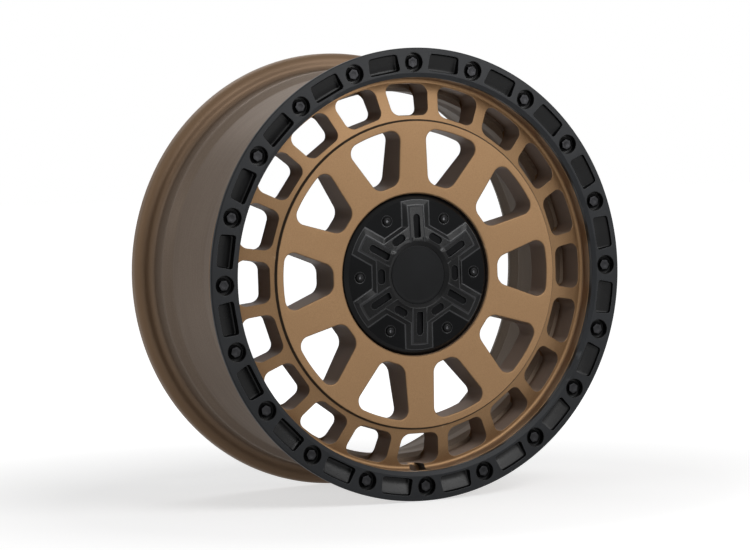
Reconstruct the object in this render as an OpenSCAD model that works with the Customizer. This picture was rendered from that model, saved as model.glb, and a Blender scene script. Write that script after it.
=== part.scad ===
// Off-road wheel rim: a forged face welded to a rear barrel, a bolted bead ring and a screwed centre cap.
// The axle lies along Y, the front of the wheel faces -Y and +Z is up.
// The origin is the centre of the hub bore on the mounting face.

/* [Rim] */
// Diameter of the bead seats
bead_seat_d = 436.6; // [420:0.2:460]
// Width between the two bead faces
rim_w = 177.8; // [170:0.1:205]
// Distance from the mounting face back to the middle of the rim
rim_offset = 35; // [25:1:40]
// Height of the rear flange above the bead seat
flange_h = 17.5; // [15:0.5:20]
// Width of each bead seat
bead_seat_w = 19.8; // [17:0.1:22]
// Taper angle of the bead seats
bead_taper = 5; // [4:0.5:6]
// Height of the safety humps
hump_h = 1; // [0.6:0.1:1.6]
// Width of the safety humps
hump_w = 7; // [5:0.5:9]
// Depth of the drop well below the bead seats
well_depth = 18.8; // [17:0.1:21]
// Width of the flat floor of the drop well, behind the weld
well_w = 32; // [20:1:45]
// Wall thickness of the barrel
barrel_wall = 6; // [5:0.5:7]
// Thickness of the rear flange along the axle
rear_flange_t = 18; // [16:0.5:21]
// Curve radius of the rear flange
rear_flange_r = 9.5; // [8:0.5:10.5]

/* [Front flange] */
// Thickness of the flange that carries the ring
flange_t = 14.7; // [14:0.1:18]
// Radial wall between the lip and the bead seat
lip_wall = 13.1; // [12:0.1:14]
// Height of the flange that carries the ring, above the bead seat
front_flange_h = 9.7; // [9:0.1:12]
// Curve radius of the flange that carries the ring
front_flange_r = 6; // [4:0.1:7]
// Height of the spigot that centres the ring
spigot_h = 2.6; // [1.5:0.1:3]
// Radial width of the spigot
spigot_w = 3.7; // [3:0.1:4]
// Gap between the spigot and the ring
spigot_gap = 0.3; // [0.2:0.05:0.5]

/* [Bead ring] */
// Thickness of the ring
ring_t = 11; // [10.4:0.1:13]
// Height of the ring's outer edge above the bead seat
ring_h = 17.9; // [17:0.1:20]
// Radius of the ring's rounded outer edge
ring_edge_r = 3.5; // [2:0.1:4]
// Radial width of the bevel around the ring's inside
ring_bevel_w = 3.8; // [2:0.1:5]
// Number of ring bolts
bolt_count = 20; // [16:1:24]
// Height of the bolt circle above the bead seat
bolt_rise = 2.7; // [2:0.1:3.5]
// Diameter of the counterbores for the bolt heads
counterbore_d = 20; // [17:0.1:21]
// Metal left in the ring under each counterbore
counterbore_floor = 3.1; // [2.5:0.1:4]
// Radial land between the ring's inner corner and its pockets
pocket_land_in = 2.6; // [2:0.1:4]
// Radial land between the ring's outer edge and its pockets
pocket_land_out = 5.9; // [5:0.1:8]
// Width of each pocket at its inner edge
pocket_w_in = 35.4; // [24:0.1:38]
// Width of each pocket at its outer edge
pocket_w_out = 33; // [22:0.1:36]
// Depth of each pocket at its outer edge
pocket_depth_out = 3.6; // [2:0.1:6]
// Depth of each pocket near its inner edge
pocket_depth_in = 8.4; // [6:0.1:8.5]
// Corner radius of the pockets
pocket_corner_r = 3; // [2:0.1:4]

/* [Ring bolts] */
// Diameter of the bolt shanks
bolt_d = 6; // [5:1:8]
// Length of the bolts under the head
bolt_len = 16; // [14:1:16]
// Width of the hex heads across the flats
bolt_head_af = 10; // [8:0.5:13]
// Height of the hex heads
bolt_head_h = 4; // [3:0.1:5]
// Outer diameter of the washers
washer_d = 15; // [12:0.5:16.5]
// Thickness of the washers
washer_t = 1.6; // [1:0.1:2]
// Radial clearance of the bolts in the washers and the ring
bolt_hole_gap = 0.3; // [0.2:0.05:0.6]
// Wall of the threaded inserts for the bolts
bolt_insert_wall = 1.45; // [1:0.05:2]
// Length of the threaded inserts for the bolts
bolt_insert_len = 12; // [10:0.5:12.5]

/* [Spokes] */
// Number of main spokes
spoke_count = 10; // [8:1:11]
// Width of a main spoke at its foot
spoke_w_in = 34.2; // [30:0.1:38]
// Width of a main spoke at its outer end
spoke_w_out = 29.4; // [26:0.1:33]
// Width of a small outer spoke
small_spoke_w = 12.2; // [9:0.1:16]
// Corner radius of the large windows next to the hub
window_r_in = 12.2; // [8:0.1:13]
// Corner radius of the large windows next to the disc edge
window_r_out = 10.3; // [6:0.1:12]
// Corner radius of the small windows
small_window_r = 9.2; // [5:0.1:10]

/* [Face] */
// Radius of the raised disc
disc_r = 160; // [155:0.1:163]
// Depth of the disc's edge below the front of the ring
disc_depth = 6.3; // [4:0.1:8]
// Extra depth of the disc where it meets the cap
disc_dish = 2.8; // [1:0.1:4]
// Height of the step around the disc
step_h = 3.3; // [2:0.1:5]
// Width of the sloped wall of that step
step_w = 1.8; // [1:0.1:3]
// Depth of the outer spokes at the lip below the front of the ring
lip_depth = 23.8; // [20:0.1:26]
// Radius where the large windows begin
window_start_r = 95.6; // [93:0.1:100]
// Width of the disc's rim outside the large windows
disc_rim_w = 7.5; // [5:0.1:12]
// Distance from the disc's edge to the small windows
small_window_gap = 6.2; // [4:0.1:9]
// Width of the ledge between the small windows and the lip
ledge_w = 5.7; // [4.5:0.1:8]
// Thickness of the face at the hub
face_t_hub = 44; // [38:0.5:48]
// Thickness of the face at the disc's edge
face_t_mid = 33; // [26:0.5:38]
// Thickness of the face at the ledge
face_t_out = 32; // [28:0.5:36]

/* [Hub] */
// Diameter of the hub bore
hub_bore_d = 106.1; // [100:0.1:112]
// Diameter of the mounting face
hub_pad_d = 164.4; // [163:0.2:170]
// Thickness of the pad under the lug seats
hub_pad_t = 18.6; // [16:0.1:22]
// Diameter of the open middle of the hub behind the cap
hub_relief_d = 118; // [114:0.5:120]
// Number of lug holes
lug_count = 6; // [5:1:6]
// Diameter of the lug circle
lug_pcd = 139.7; // [135:0.1:140]
// Diameter of the lug holes
lug_hole_d = 15.5; // [13:0.1:16]
// Diameter of the socket pockets for the lug nuts
lug_pocket_d = 29; // [27:0.5:29.5]
// Wall of the steel lug seats
lug_seat_wall = 2.4; // [2:0.05:3]
// Width of the collar on the lug seats
lug_collar_w = 2; // [1.5:0.1:2.5]
// Thickness of the collar on the lug seats
lug_collar_t = 3; // [2:0.1:4]
// Angle of the cone in the lug seats
lug_cone_angle = 60; // [50:1:90]
// Bevel at the edges of the hub bore
hub_bevel = 1; // [0.5:0.1:2]
// Distance from the large windows in to the flank of the hub
hub_flank_gap = 3; // [2:0.5:6]
// Steepness of the recess wall above the cap's rim
recess_slope = 1.25; // [0.8:0.05:2]

/* [Valve hole] */
// Diameter of the valve hole
valve_hole_d = 11.3; // [8.3:0.1:11.5]
// Diameter of the counterbore around the valve hole
valve_spot_d = 18.8; // [16:0.1:20]
// Depth of that counterbore below the ledge
valve_spot_depth = 12; // [8:0.5:16]
// Distance of the valve hole outside the lip, at the floor of its counterbore
valve_rise = 1.8; // [1:0.1:3]
// Lean of the valve hole away from the axle's direction
valve_lean = 12; // [8:1:15]
// Metal left around the valve hole between its two seats
valve_wall = 12; // [10:0.5:14]

/* [Centre cap] */
// Radius of the cap
cap_r = 84.3; // [82:0.1:85]
// Gap between the cap and its recess
cap_gap = 0.5; // [0.3:0.05:1]
// Depth of the cap's rim below the edge of its recess
cap_rim_depth = 3.5; // [2:0.1:5]
// Height of the cap's rim
cap_rim_h = 4.2; // [3:0.1:6]
// Height of the cap's floor above its rim
cap_floor_h = 4.8; // [3:0.1:6]
// Wall thickness of the cap
cap_wall = 4; // [3:0.1:4.5]
// Height of the ribs above the cap's floor
rib_h = 4.8; // [3:0.1:6]
// Width of the top of a rib
rib_top_w = 18.8; // [15:0.1:20]
// Width of the foot of a rib
rib_foot_w = 31.5; // [27:0.1:33]
// Radius where the top of a rib ends and the slope to the rim begins
rib_end_r = 73; // [68:0.1:75]
// Distance from the axle to the outer edge of the web between the ribs
web_r = 48; // [45:0.1:50]
// Width of the slope outside the web
web_slope_w = 4; // [2:0.1:5]
// Length of the slot in a rib
rib_slot_len = 25; // [15:0.5:28]
// Width of the slot in a rib
rib_slot_w = 6.6; // [4:0.1:8]
// Distance from the axle to the inner end of a rib slot
rib_slot_start = 39.5; // [38:0.1:44]
// Length of the slot in a web
web_slot_len = 15.5; // [10:0.5:17]
// Width of the slot in a web
web_slot_w = 7; // [4:0.1:8]
// Distance from the axle to the slot in a web
web_slot_r = 42.5; // [41:0.1:44]
// Depth of the slots
slot_depth = 4; // [2:0.1:5]

/* [Badge] */
// Radius of the badge
badge_r = 30.5; // [26:0.1:31]
// Thickness of the badge
badge_t = 1.6; // [1:0.1:2]
// Depth of the badge's face below the ribs
badge_depth = 2.4; // [1:0.1:3]
// Width of the bevel around the badge
badge_bevel_w = 4; // [2:0.1:5]
// Gap around the badge
badge_gap = 0.2; // [0.1:0.05:0.4]

/* [Cap screws] */
// Radius of the screw circle
cap_screw_r = 66; // [65:0.1:67]
// Diameter of the screw shanks
cap_screw_d = 5; // [4:0.5:6]
// Length of the screws under the head
cap_screw_len = 18; // [16:1:20]
// Diameter of the button heads
cap_screw_head_d = 9.5; // [8:0.1:10.5]
// Height of the button heads
cap_screw_head_h = 2.75; // [2:0.05:3.5]
// Width of the hex sockets across the flats
cap_screw_socket_af = 3; // [2:0.5:4]
// Depth of the hex sockets
cap_screw_socket_depth = 1.6; // [1:0.1:1.8]
// Depth of the seats for the screw heads
cap_screw_seat_depth = 1; // [0.5:0.1:1.5]
// Radial gap around the screw heads
cap_screw_head_gap = 0.8; // [0.4:0.1:1.5]
// Radial clearance of the screws in the cap
cap_screw_gap = 0.25; // [0.15:0.05:0.5]
// Diameter of the bosses under the cap
cap_boss_d = 14; // [11:0.5:16]
// Wall of the threaded inserts for the cap screws
cap_insert_wall = 1; // [0.8:0.05:1.4]
// Length of the threaded inserts for the cap screws
cap_insert_len = 10; // [8:0.5:12]

/* [Fits] */
// Bevel at the tips of the bolts and screws
tip_bevel = 1; // [0.5:0.1:1.5]
// Radial clearance of a screw in its threaded insert
thread_gap = 0.05; // [0.03:0.01:0.1]
// Radial clearance of inserts, lug seats and the barrel in their seats
seat_gap = 0.03; // [0.02:0.01:0.06]

/* [Weld] */
// Depth of the weld groove
weld_depth = 3; // [2:0.1:4]
// Width of the weld at its surface
weld_w = 5; // [4:0.1:7]
// Height of the weld's crown
weld_crown = 0.8; // [0.3:0.1:1.2]
// Thickness of the register under the weld
register_t = 3; // [2:0.1:4]
// Length of the register on each side of the weld
register_len = 8; // [5:0.5:10]

/* [Hidden] */
$fn = 96;
bronze = [0.58, 0.46, 0.34];
bronze_dark = [0.42, 0.36, 0.30];
satin_black = [0.16, 0.17, 0.18];
deep_black = [0.08, 0.09, 0.10];
steel = [0.62, 0.63, 0.65];
weld_grey = [0.50, 0.47, 0.43];
// Cuts run past the faces that they open by this much
past = 1;
// Round corners overlap the straight sides next to them by this much, so that the two always cross
corner_lap = 0.02;
// Steps in each rounded edge of a turned profile
edge_steps = 8;

// Stations along the axle
front_bead_y = rim_offset - rim_w / 2;
rear_bead_y = rim_offset + rim_w / 2;
flange_y = front_bead_y - flange_t;
ring_y = flange_y - ring_t;
rim_end_y = rear_bead_y + rear_flange_t;
disc_edge_y = ring_y + disc_depth;
recess_edge_y = disc_edge_y + disc_dish;
lip_y = ring_y + lip_depth;
step_y = disc_edge_y + step_h;
spigot_y = flange_y - spigot_h;
hub_back_y = recess_edge_y + face_t_hub;
mid_back_y = disc_edge_y + face_t_mid;
out_back_y = lip_y + face_t_out;
lug_floor_y = -hub_pad_t;
cap_rim_y = recess_edge_y + cap_rim_depth;
cap_seat_y = cap_rim_y + cap_rim_h;
cap_floor_y = cap_rim_y - cap_floor_h;
cap_under_y = cap_floor_y + cap_wall;
rib_top_y = cap_floor_y - rib_h;
badge_face_y = rib_top_y + badge_depth;
badge_seat_y = badge_face_y + badge_t;
screw_seat_y = cap_floor_y + cap_screw_seat_depth;
counterbore_y = flange_y - counterbore_floor;
bolt_seat_y = counterbore_y - washer_t;
valve_y = lip_y + valve_spot_depth;

// Radii
bead_r = bead_seat_d / 2;
lip_r = bead_r - lip_wall;
spigot_r = lip_r + spigot_w;
flange_edge_r = bead_r + front_flange_h;
flange_curve_y = front_bead_y - front_flange_r;
ring_r = bead_r + ring_h;
ring_bore_r = lip_r + spigot_gap;
ring_corner_r = ring_bore_r + ring_bevel_w;
ring_back_r = flange_edge_r + (ring_r - flange_edge_r) / 3;
bolt_circle_r = bead_r + bolt_rise;
bolt_r = bolt_d / 2;
bolt_hole_r = bolt_r + bolt_hole_gap;
bolt_thread_r = bolt_r + thread_gap;
bolt_insert_r = bolt_thread_r + bolt_insert_wall;
counterbore_r = counterbore_d / 2;
pocket_r_in = ring_corner_r + pocket_land_in;
pocket_r_out = ring_r - pocket_land_out;
window_end_r = disc_r - disc_rim_w;
small_window_start_r = disc_r + small_window_gap;
small_window_end_r = lip_r - ledge_w;
recess_r = cap_r + cap_gap;
recess_edge_r = recess_r + cap_rim_depth / recess_slope;
hub_bore_r = hub_bore_d / 2;
hub_pad_r = hub_pad_d / 2;
hub_relief_r = hub_relief_d / 2;
lug_circle_r = lug_pcd / 2;
lug_hole_r = lug_hole_d / 2;
lug_seat_r = lug_hole_r + lug_seat_wall;
lug_collar_r = lug_seat_r + lug_collar_w;
lug_cone_r = lug_seat_r + lug_collar_w / 4;
lug_cone_depth = (lug_cone_r - lug_hole_r) / tan(lug_cone_angle / 2);
valve_r = lip_r + valve_rise;
cap_screw_thread_r = cap_screw_d / 2 + thread_gap;
cap_screw_hole_r = cap_screw_d / 2 + cap_screw_gap;
cap_insert_r = cap_screw_thread_r + cap_insert_wall;
badge_well_r = badge_r + badge_gap;
badge_edge_r = badge_well_r + badge_bevel_w;
seat_end_r = bead_r - bead_seat_w * tan(bead_taper);
well_r = bead_r - well_depth;
well_bore_r = well_r - barrel_wall;
register_r = well_bore_r - register_t;
// The back of the face turns inwards just before the large windows and in the middle of the shoulder
hub_flank_r = window_start_r - hub_flank_gap;
shoulder_r = (small_window_end_r + register_r) / 2;

// The weld sits on the floor of the drop well, just behind the front slope
front_hump_y = front_bead_y + bead_seat_w;
front_slope_y = front_hump_y + hump_w;
well_start_y = front_slope_y + seat_end_r - well_r;
weld_y = well_start_y + weld_w;
rear_hump_y = rear_bead_y - bead_seat_w;
rear_slope_y = rear_hump_y - hump_w;
well_end_y = min(weld_y + well_w, rear_slope_y - well_depth);
rear_knee_r = seat_end_r - well_depth / 3;
rear_knee_y = rear_slope_y - well_depth / 2;

// Main spokes narrow evenly from the foot to the outer end
spoke_taper = atan((spoke_w_in - spoke_w_out) / 2 / (window_end_r - window_start_r));
spoke_root_w = (spoke_w_in / 2 + window_start_r * tan(spoke_taper)) * cos(spoke_taper);
small_count = 2 * spoke_count;
small_corner_r = min(small_window_r, (small_window_end_r - small_window_start_r) / 2 - past);
// Ring pockets narrow evenly towards the ring's outer edge
pocket_taper = atan((pocket_w_out - pocket_w_in) / 2 / (pocket_r_out - pocket_r_in));
pocket_root_w = pocket_r_in * sin(pocket_taper) - pocket_w_in / 2 * cos(pocket_taper);
pocket_fall = (pocket_depth_in - pocket_depth_out) / (pocket_r_out - pocket_r_in);

// Points along an arc about (r, y), from angle a0 to angle a1
function arc(r, y, radius, a0, a1) = [
    for (i = [0 : edge_steps])
        let (a = a0 + (a1 - a0) * i / edge_steps)
            [r + radius * cos(a), y + radius * sin(a)]
];

// Points over a crown that rises by height above radius r between y0 and y1
function crown(r, height, y0, y1) = [
    for (i = [0 : edge_steps])
        [r + height * sin(180 * i / edge_steps), y0 + (y1 - y0) * i / edge_steps]
];

// Turns a profile of (radius, y) points about the axle's direction
module lathe(profile) {
    rotate([-90, 0, 0]) rotate_extrude() polygon(profile);
}

// Extrudes an outline, drawn as seen from the front, between two stations on the axle
module slab(y0, y1) {
    translate([0, y1, 0]) rotate([90, 0, 0]) linear_extrude(height = y1 - y0) children();
}

// Round bar along the axle's direction between two stations
module rod(radius, y0, y1) {
    slab(y0, y1) circle(r = radius);
}

// Hexagonal bar of a given width across its flats
module hex_rod(across_flats, y0, y1) {
    slab(y0, y1) circle(r = across_flats / 2 / cos(30), $fn = 6);
}

// Repeats children around the axle, counter-clockwise from +X as seen from the front
module around(count, start = 0, radius = 0) {
    for (i = [0 : count - 1])
        rotate([0, -start - 360 * i / count, 0]) translate([radius, 0, 0]) children();
}

// Outline of an opening on the +X axis, between two flanks that lie at an angle to that axis
// and pass the axle at a distance of flank_gap. All four corners are round.
module opening(start_r, end_r, flank_angle, flank_gap, corner_in, corner_out) {
    s = sin(flank_angle);
    c = cos(flank_angle);
    in_u = start_r + corner_in;
    in_v = (in_u * s - flank_gap - corner_in) / c;
    out_r = end_r - corner_out + corner_lap;
    out_angle = flank_angle - asin((flank_gap + corner_out) / out_r);
    out_u = out_r * cos(out_angle);
    out_v = out_r * sin(out_angle);
    side_in = corner_in - corner_lap;
    side_out = corner_out - corner_lap;
    reach = end_r + corner_out;
    intersection() {
        circle(r = end_r);
        union() {
            polygon([
                [start_r + corner_lap, -in_v],
                [in_u, -in_v],
                [in_u - side_in * s, -in_v - side_in * c],
                [out_u - side_out * s, -out_v - side_out * c],
                [out_u, -out_v],
                [reach * cos(out_angle), -reach * sin(out_angle)],
                [reach * cos(out_angle), reach * sin(out_angle)],
                [out_u, out_v],
                [out_u - side_out * s, out_v + side_out * c],
                [in_u - side_in * s, in_v + side_in * c],
                [in_u, in_v],
                [start_r + corner_lap, in_v]
            ]);
            for (side = [-1, 1]) {
                translate([in_u, side * in_v]) circle(r = corner_in);
                translate([out_u, side * out_v]) circle(r = corner_out);
            }
        }
    }
}

// Face, turned: from the hub bore along the back to the rim, and back along the front
function face_profile() = concat(
    [
        [hub_bore_r, -hub_bevel],
        [hub_bore_r + hub_bevel, 0],
        [hub_pad_r, 0],
        [hub_flank_r, hub_back_y],
        [disc_r, mid_back_y],
        [shoulder_r, out_back_y],
        [register_r, weld_y - register_len],
        [register_r, weld_y + register_len],
        [well_bore_r - seat_gap, weld_y + register_len],
        [well_bore_r - seat_gap, weld_y],
        [well_r - weld_depth, weld_y],
        [well_r, weld_y - weld_w / 2],
        [well_r, well_start_y]
    ],
    crown(seat_end_r, hump_h, front_slope_y, front_hump_y),
    [[bead_r, front_bead_y]],
    arc(flange_edge_r - front_flange_r, flange_curve_y, front_flange_r, 90, 0),
    [
        [flange_edge_r, flange_y],
        [spigot_r, flange_y],
        [spigot_r, spigot_y],
        [lip_r, spigot_y],
        [lip_r, lip_y],
        [disc_r + step_w, step_y],
        [disc_r, disc_edge_y],
        [recess_edge_r, recess_edge_y],
        [recess_r, cap_rim_y],
        [recess_r, cap_seat_y],
        [hub_relief_r, cap_seat_y],
        [hub_relief_r, lug_floor_y],
        [hub_bore_r + hub_bevel, lug_floor_y],
        [hub_bore_r, lug_floor_y + hub_bevel]
    ]
);

// Large and small windows
module windows() {
    around(spoke_count, 90 + 180 / spoke_count)
        slab(ring_y, hub_back_y + past)
            opening(window_start_r, window_end_r, 180 / spoke_count + spoke_taper, spoke_root_w,
                window_r_in, window_r_out);
    around(small_count, 90)
        slab(ring_y, out_back_y + past)
            opening(small_window_start_r, small_window_end_r, 180 / small_count, small_spoke_w / 2,
                small_corner_r, small_corner_r);
}

// Leaning valve hole at the bottom, with a seat on each side
module valve_hole() {
    translate([0, valve_y, -valve_r]) rotate([-valve_lean, 0, 0]) {
        rod(valve_hole_d / 2, -past, valve_wall + past);
        rod(valve_spot_d / 2, -lip_depth, 0);
        rod(valve_spot_d / 2, valve_wall, valve_wall + well_depth);
    }
}

module wheel_face() {
    color(bronze) difference() {
        lathe(face_profile());
        windows();
        valve_hole();
        around(bolt_count, 90, bolt_circle_r)
            rod(bolt_insert_r + seat_gap, flange_y - past, flange_y + bolt_insert_len);
        around(lug_count, 90, lug_circle_r) {
            rod(lug_pocket_d / 2, cap_seat_y - cap_gap, lug_floor_y);
            rod(lug_collar_r + seat_gap, lug_floor_y - past, lug_floor_y + lug_collar_t);
            rod(lug_seat_r + seat_gap, lug_floor_y, past);
        }
        around(lug_count, 90 + 180 / lug_count, cap_screw_r)
            rod(cap_insert_r + seat_gap, cap_seat_y - past, cap_seat_y + cap_screw_len);
    }
}

// Barrel, turned: along the inside to the rear flange, and back over the drop well
module rim_barrel() {
    tip_r = bead_r + flange_h;
    tip_y = rear_bead_y + rear_flange_r;
    edge = rear_flange_t - rear_flange_r;
    color(bronze_dark) lathe(concat(
        [
            [well_bore_r, weld_y],
            [well_bore_r, well_end_y],
            [rear_knee_r - barrel_wall, rear_knee_y],
            [seat_end_r - barrel_wall, rear_slope_y],
            [bead_r - barrel_wall, rear_bead_y],
            [bead_r, rim_end_y - edge / 3],
            [bead_r + barrel_wall / 2, rim_end_y]
        ],
        arc(tip_r - edge / 3, rim_end_y - edge / 3, edge / 3, 90, 0),
        arc(tip_r - rear_flange_r, tip_y, rear_flange_r, 0, -90),
        [[bead_r, rear_bead_y]],
        crown(seat_end_r, hump_h, rear_hump_y, rear_slope_y),
        [
            [rear_knee_r, rear_knee_y],
            [well_r, well_end_y],
            [well_r, weld_y + weld_w / 2],
            [well_r - weld_depth, weld_y]
        ]
    ));
}

module barrel_weld() {
    half_w = weld_w / 2 - seat_gap;
    color(weld_grey) lathe(concat(
        [[well_r - weld_depth + 2 * seat_gap, weld_y]],
        crown(well_r, weld_crown, weld_y - half_w, weld_y + half_w)
    ));
}

// Sloped floors of the ring's pockets, as one turned cut
module pocket_floors() {
    reach = ring_edge_r;
    flat_r = pocket_r_in + 2 * pocket_land_in;
    lathe([
        [pocket_r_in - reach, ring_y - past],
        [pocket_r_in - reach, ring_y + pocket_depth_in],
        [flat_r, ring_y + pocket_depth_in],
        [pocket_r_out + reach, ring_y + pocket_depth_out - reach * pocket_fall],
        [pocket_r_out + reach, ring_y - past]
    ]);
}

module bead_ring() {
    color(satin_black) difference() {
        lathe(concat(
            [
                [ring_corner_r, ring_y],
                [ring_bore_r, spigot_y - spigot_gap],
                [spigot_r + spigot_gap, spigot_y - spigot_gap],
                [spigot_r + spigot_gap, flange_y],
                [ring_back_r, flange_y]
            ],
            arc(ring_r - ring_edge_r, ring_y + ring_edge_r, ring_edge_r, 0, -90)
        ));
        intersection() {
            pocket_floors();
            around(bolt_count, 90 + 180 / bolt_count)
                slab(ring_y - past, flange_y)
                    opening(pocket_r_in, pocket_r_out, pocket_taper, pocket_root_w,
                        pocket_corner_r, pocket_corner_r);
        }
        around(bolt_count, 90, bolt_circle_r) {
            rod(counterbore_r, ring_y - past, counterbore_y);
            rod(bolt_hole_r, counterbore_y - past, flange_y + past);
        }
    }
}

// Hex bolt with a bevelled head and tip, its head's seat at bolt_seat_y
module ring_bolt() {
    top_y = bolt_seat_y - bolt_head_h;
    tip_y = bolt_seat_y + bolt_len;
    corner_r = bolt_head_af / 2 / cos(30);
    bevel_y = top_y + (corner_r - bolt_head_af / 2);
    intersection() {
        hex_rod(bolt_head_af, top_y, bolt_seat_y);
        lathe([
            [0, top_y],
            [bolt_head_af / 2, top_y],
            [corner_r, bevel_y],
            [corner_r, bolt_seat_y],
            [0, bolt_seat_y]
        ]);
    }
    lathe([
        [0, bolt_seat_y - past],
        [bolt_r, bolt_seat_y - past],
        [bolt_r, tip_y - tip_bevel],
        [bolt_r - tip_bevel, tip_y],
        [0, tip_y]
    ]);
}

module ring_bolts() {
    color(deep_black) around(bolt_count, 90, bolt_circle_r) ring_bolt();
}

module ring_washers() {
    color(deep_black) around(bolt_count, 90, bolt_circle_r) difference() {
        rod(washer_d / 2, bolt_seat_y, counterbore_y);
        rod(bolt_hole_r, bolt_seat_y - past, counterbore_y + past);
    }
}

module ring_inserts() {
    color(steel) around(bolt_count, 90, bolt_circle_r) difference() {
        rod(bolt_insert_r, flange_y, flange_y + bolt_insert_len - seat_gap);
        rod(bolt_thread_r, flange_y - past, flange_y + bolt_insert_len);
    }
}

// Cap, turned: the badge's well, the level of the rib tops, the slope, the rim and the hollow back
module cap_blank() {
    inner_r = cap_r - cap_wall;
    lathe([
        [0, badge_seat_y],
        [badge_well_r, badge_seat_y],
        [badge_well_r, badge_face_y],
        [badge_edge_r, rib_top_y],
        [rib_end_r, rib_top_y],
        [cap_r, cap_rim_y],
        [cap_r, cap_seat_y],
        [inner_r, cap_seat_y],
        [inner_r - cap_wall, cap_under_y],
        [0, cap_under_y]
    ]);
}

// Everything beside a rib, down to below the floor. side is 1 for the rib after +X and -1 for the one before.
module beside_rib(side) {
    lean = (rib_foot_w - rib_top_w) / 2 / rib_h * past;
    rotate([0, -90 - side * 180 / lug_count, 0]) linear_extrude(height = 4 * cap_r, center = true)
        polygon([
            [side * (lean - rib_top_w / 2), rib_top_y - past],
            [-side * (lean + rib_foot_w / 2), cap_floor_y + past],
            [-side * 2 * cap_r, cap_floor_y + past],
            [-side * 2 * cap_r, rib_top_y - past]
        ]);
}

// Everything outside the web that crosses +X, down to the floor
module outside_web() {
    lean = web_slope_w / rib_h * past;
    linear_extrude(height = 2 * cap_r, center = true)
        polygon([
            [web_r - lean, rib_top_y - past],
            [web_r + web_slope_w, cap_floor_y],
            [cap_r + past, cap_floor_y],
            [cap_r + past, rib_top_y - past]
        ]);
}

// Pocket between two ribs and a web, with sloped sides, around +X
module cap_pocket() {
    intersection() {
        outside_web();
        beside_rib(1);
        beside_rib(-1);
    }
}

module center_cap() {
    slot_y = rib_top_y + slot_depth;
    rib_round = rib_slot_start + rib_slot_len - rib_slot_w / 2;
    web_round = (web_slot_len - web_slot_w) / 2;
    color(deep_black) difference() {
        union() {
            cap_blank();
            around(lug_count, 90 + 180 / lug_count, cap_screw_r)
                rod(cap_boss_d / 2, cap_under_y - past, cap_seat_y);
        }
        around(lug_count, 90 + 180 / lug_count) cap_pocket();
        around(lug_count, 90) slab(rib_top_y - past, slot_y) {
            translate([rib_slot_start, -rib_slot_w / 2]) square([rib_slot_len - rib_slot_w / 2, rib_slot_w]);
            translate([rib_round, 0]) circle(r = rib_slot_w / 2);
        }
        around(lug_count, 90 + 180 / lug_count) slab(rib_top_y - past, slot_y) translate([web_slot_r, 0]) {
            square([web_slot_w, 2 * web_round], center = true);
            for (side = [-1, 1]) translate([0, side * web_round]) circle(r = web_slot_w / 2);
        }
        around(lug_count, 90 + 180 / lug_count, cap_screw_r) {
            rod(cap_screw_head_d / 2 + cap_screw_head_gap, cap_floor_y - past, screw_seat_y);
            rod(cap_screw_hole_r, screw_seat_y - past, cap_seat_y + past);
        }
    }
}

module cap_badge() {
    bevel = badge_t / 4;
    color(satin_black) lathe([
        [0, badge_face_y],
        [badge_r - bevel, badge_face_y],
        [badge_r, badge_face_y + bevel],
        [badge_r, badge_seat_y],
        [0, badge_seat_y]
    ]);
}

// Button-head screw with a hex socket, its head's seat at screw_seat_y
module cap_screw() {
    head_r = cap_screw_head_d / 2;
    shank_r = cap_screw_d / 2;
    top_y = screw_seat_y - cap_screw_head_h;
    tip_y = screw_seat_y + cap_screw_len;
    dome = [for (i = [0 : edge_steps]) let (a = 90 * i / edge_steps)
        [shank_r + (head_r - shank_r) * sin(a), screw_seat_y - cap_screw_head_h * cos(a)]];
    difference() {
        lathe(concat([[0, top_y]], dome, [
            [shank_r, screw_seat_y],
            [shank_r, tip_y - tip_bevel],
            [shank_r - tip_bevel, tip_y],
            [0, tip_y]
        ]));
        hex_rod(cap_screw_socket_af, top_y - past, top_y + cap_screw_socket_depth);
    }
}

module cap_screws() {
    color(steel) around(lug_count, 90 + 180 / lug_count, cap_screw_r) cap_screw();
}

module cap_inserts() {
    color(steel) around(lug_count, 90 + 180 / lug_count, cap_screw_r) difference() {
        rod(cap_insert_r, cap_seat_y, cap_seat_y + cap_insert_len);
        rod(cap_screw_thread_r, cap_seat_y - past, cap_seat_y + cap_insert_len + past);
    }
}

module lug_seats() {
    color(steel) around(lug_count, 90, lug_circle_r)
        lathe([
            [lug_hole_r, 0],
            [lug_seat_r, 0],
            [lug_seat_r, lug_floor_y + lug_collar_t],
            [lug_collar_r, lug_floor_y + lug_collar_t],
            [lug_collar_r, lug_floor_y],
            [lug_cone_r, lug_floor_y],
            [lug_hole_r, lug_floor_y + lug_cone_depth]
        ]);
}

wheel_face();
rim_barrel();
barrel_weld();
bead_ring();
ring_bolts();
ring_washers();
ring_inserts();
center_cap();
cap_badge();
cap_screws();
cap_inserts();
lug_seats();
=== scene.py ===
"""Looks of the off-road wheel rim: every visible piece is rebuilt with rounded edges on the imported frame.

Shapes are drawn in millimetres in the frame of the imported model: the axle lies along Y, the front faces -Y.
A plan is an (n, 2) array of points seen from the front, x to the right and z up.
"""

import bmesh
import bpy
import numpy as np
from math import acos, asin, atan, atan2, ceil, cos, pi, radians, sin, sqrt, tan
from mathutils import Matrix, Vector
from mathutils.geometry import delaunay_2d_cdt


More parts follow.
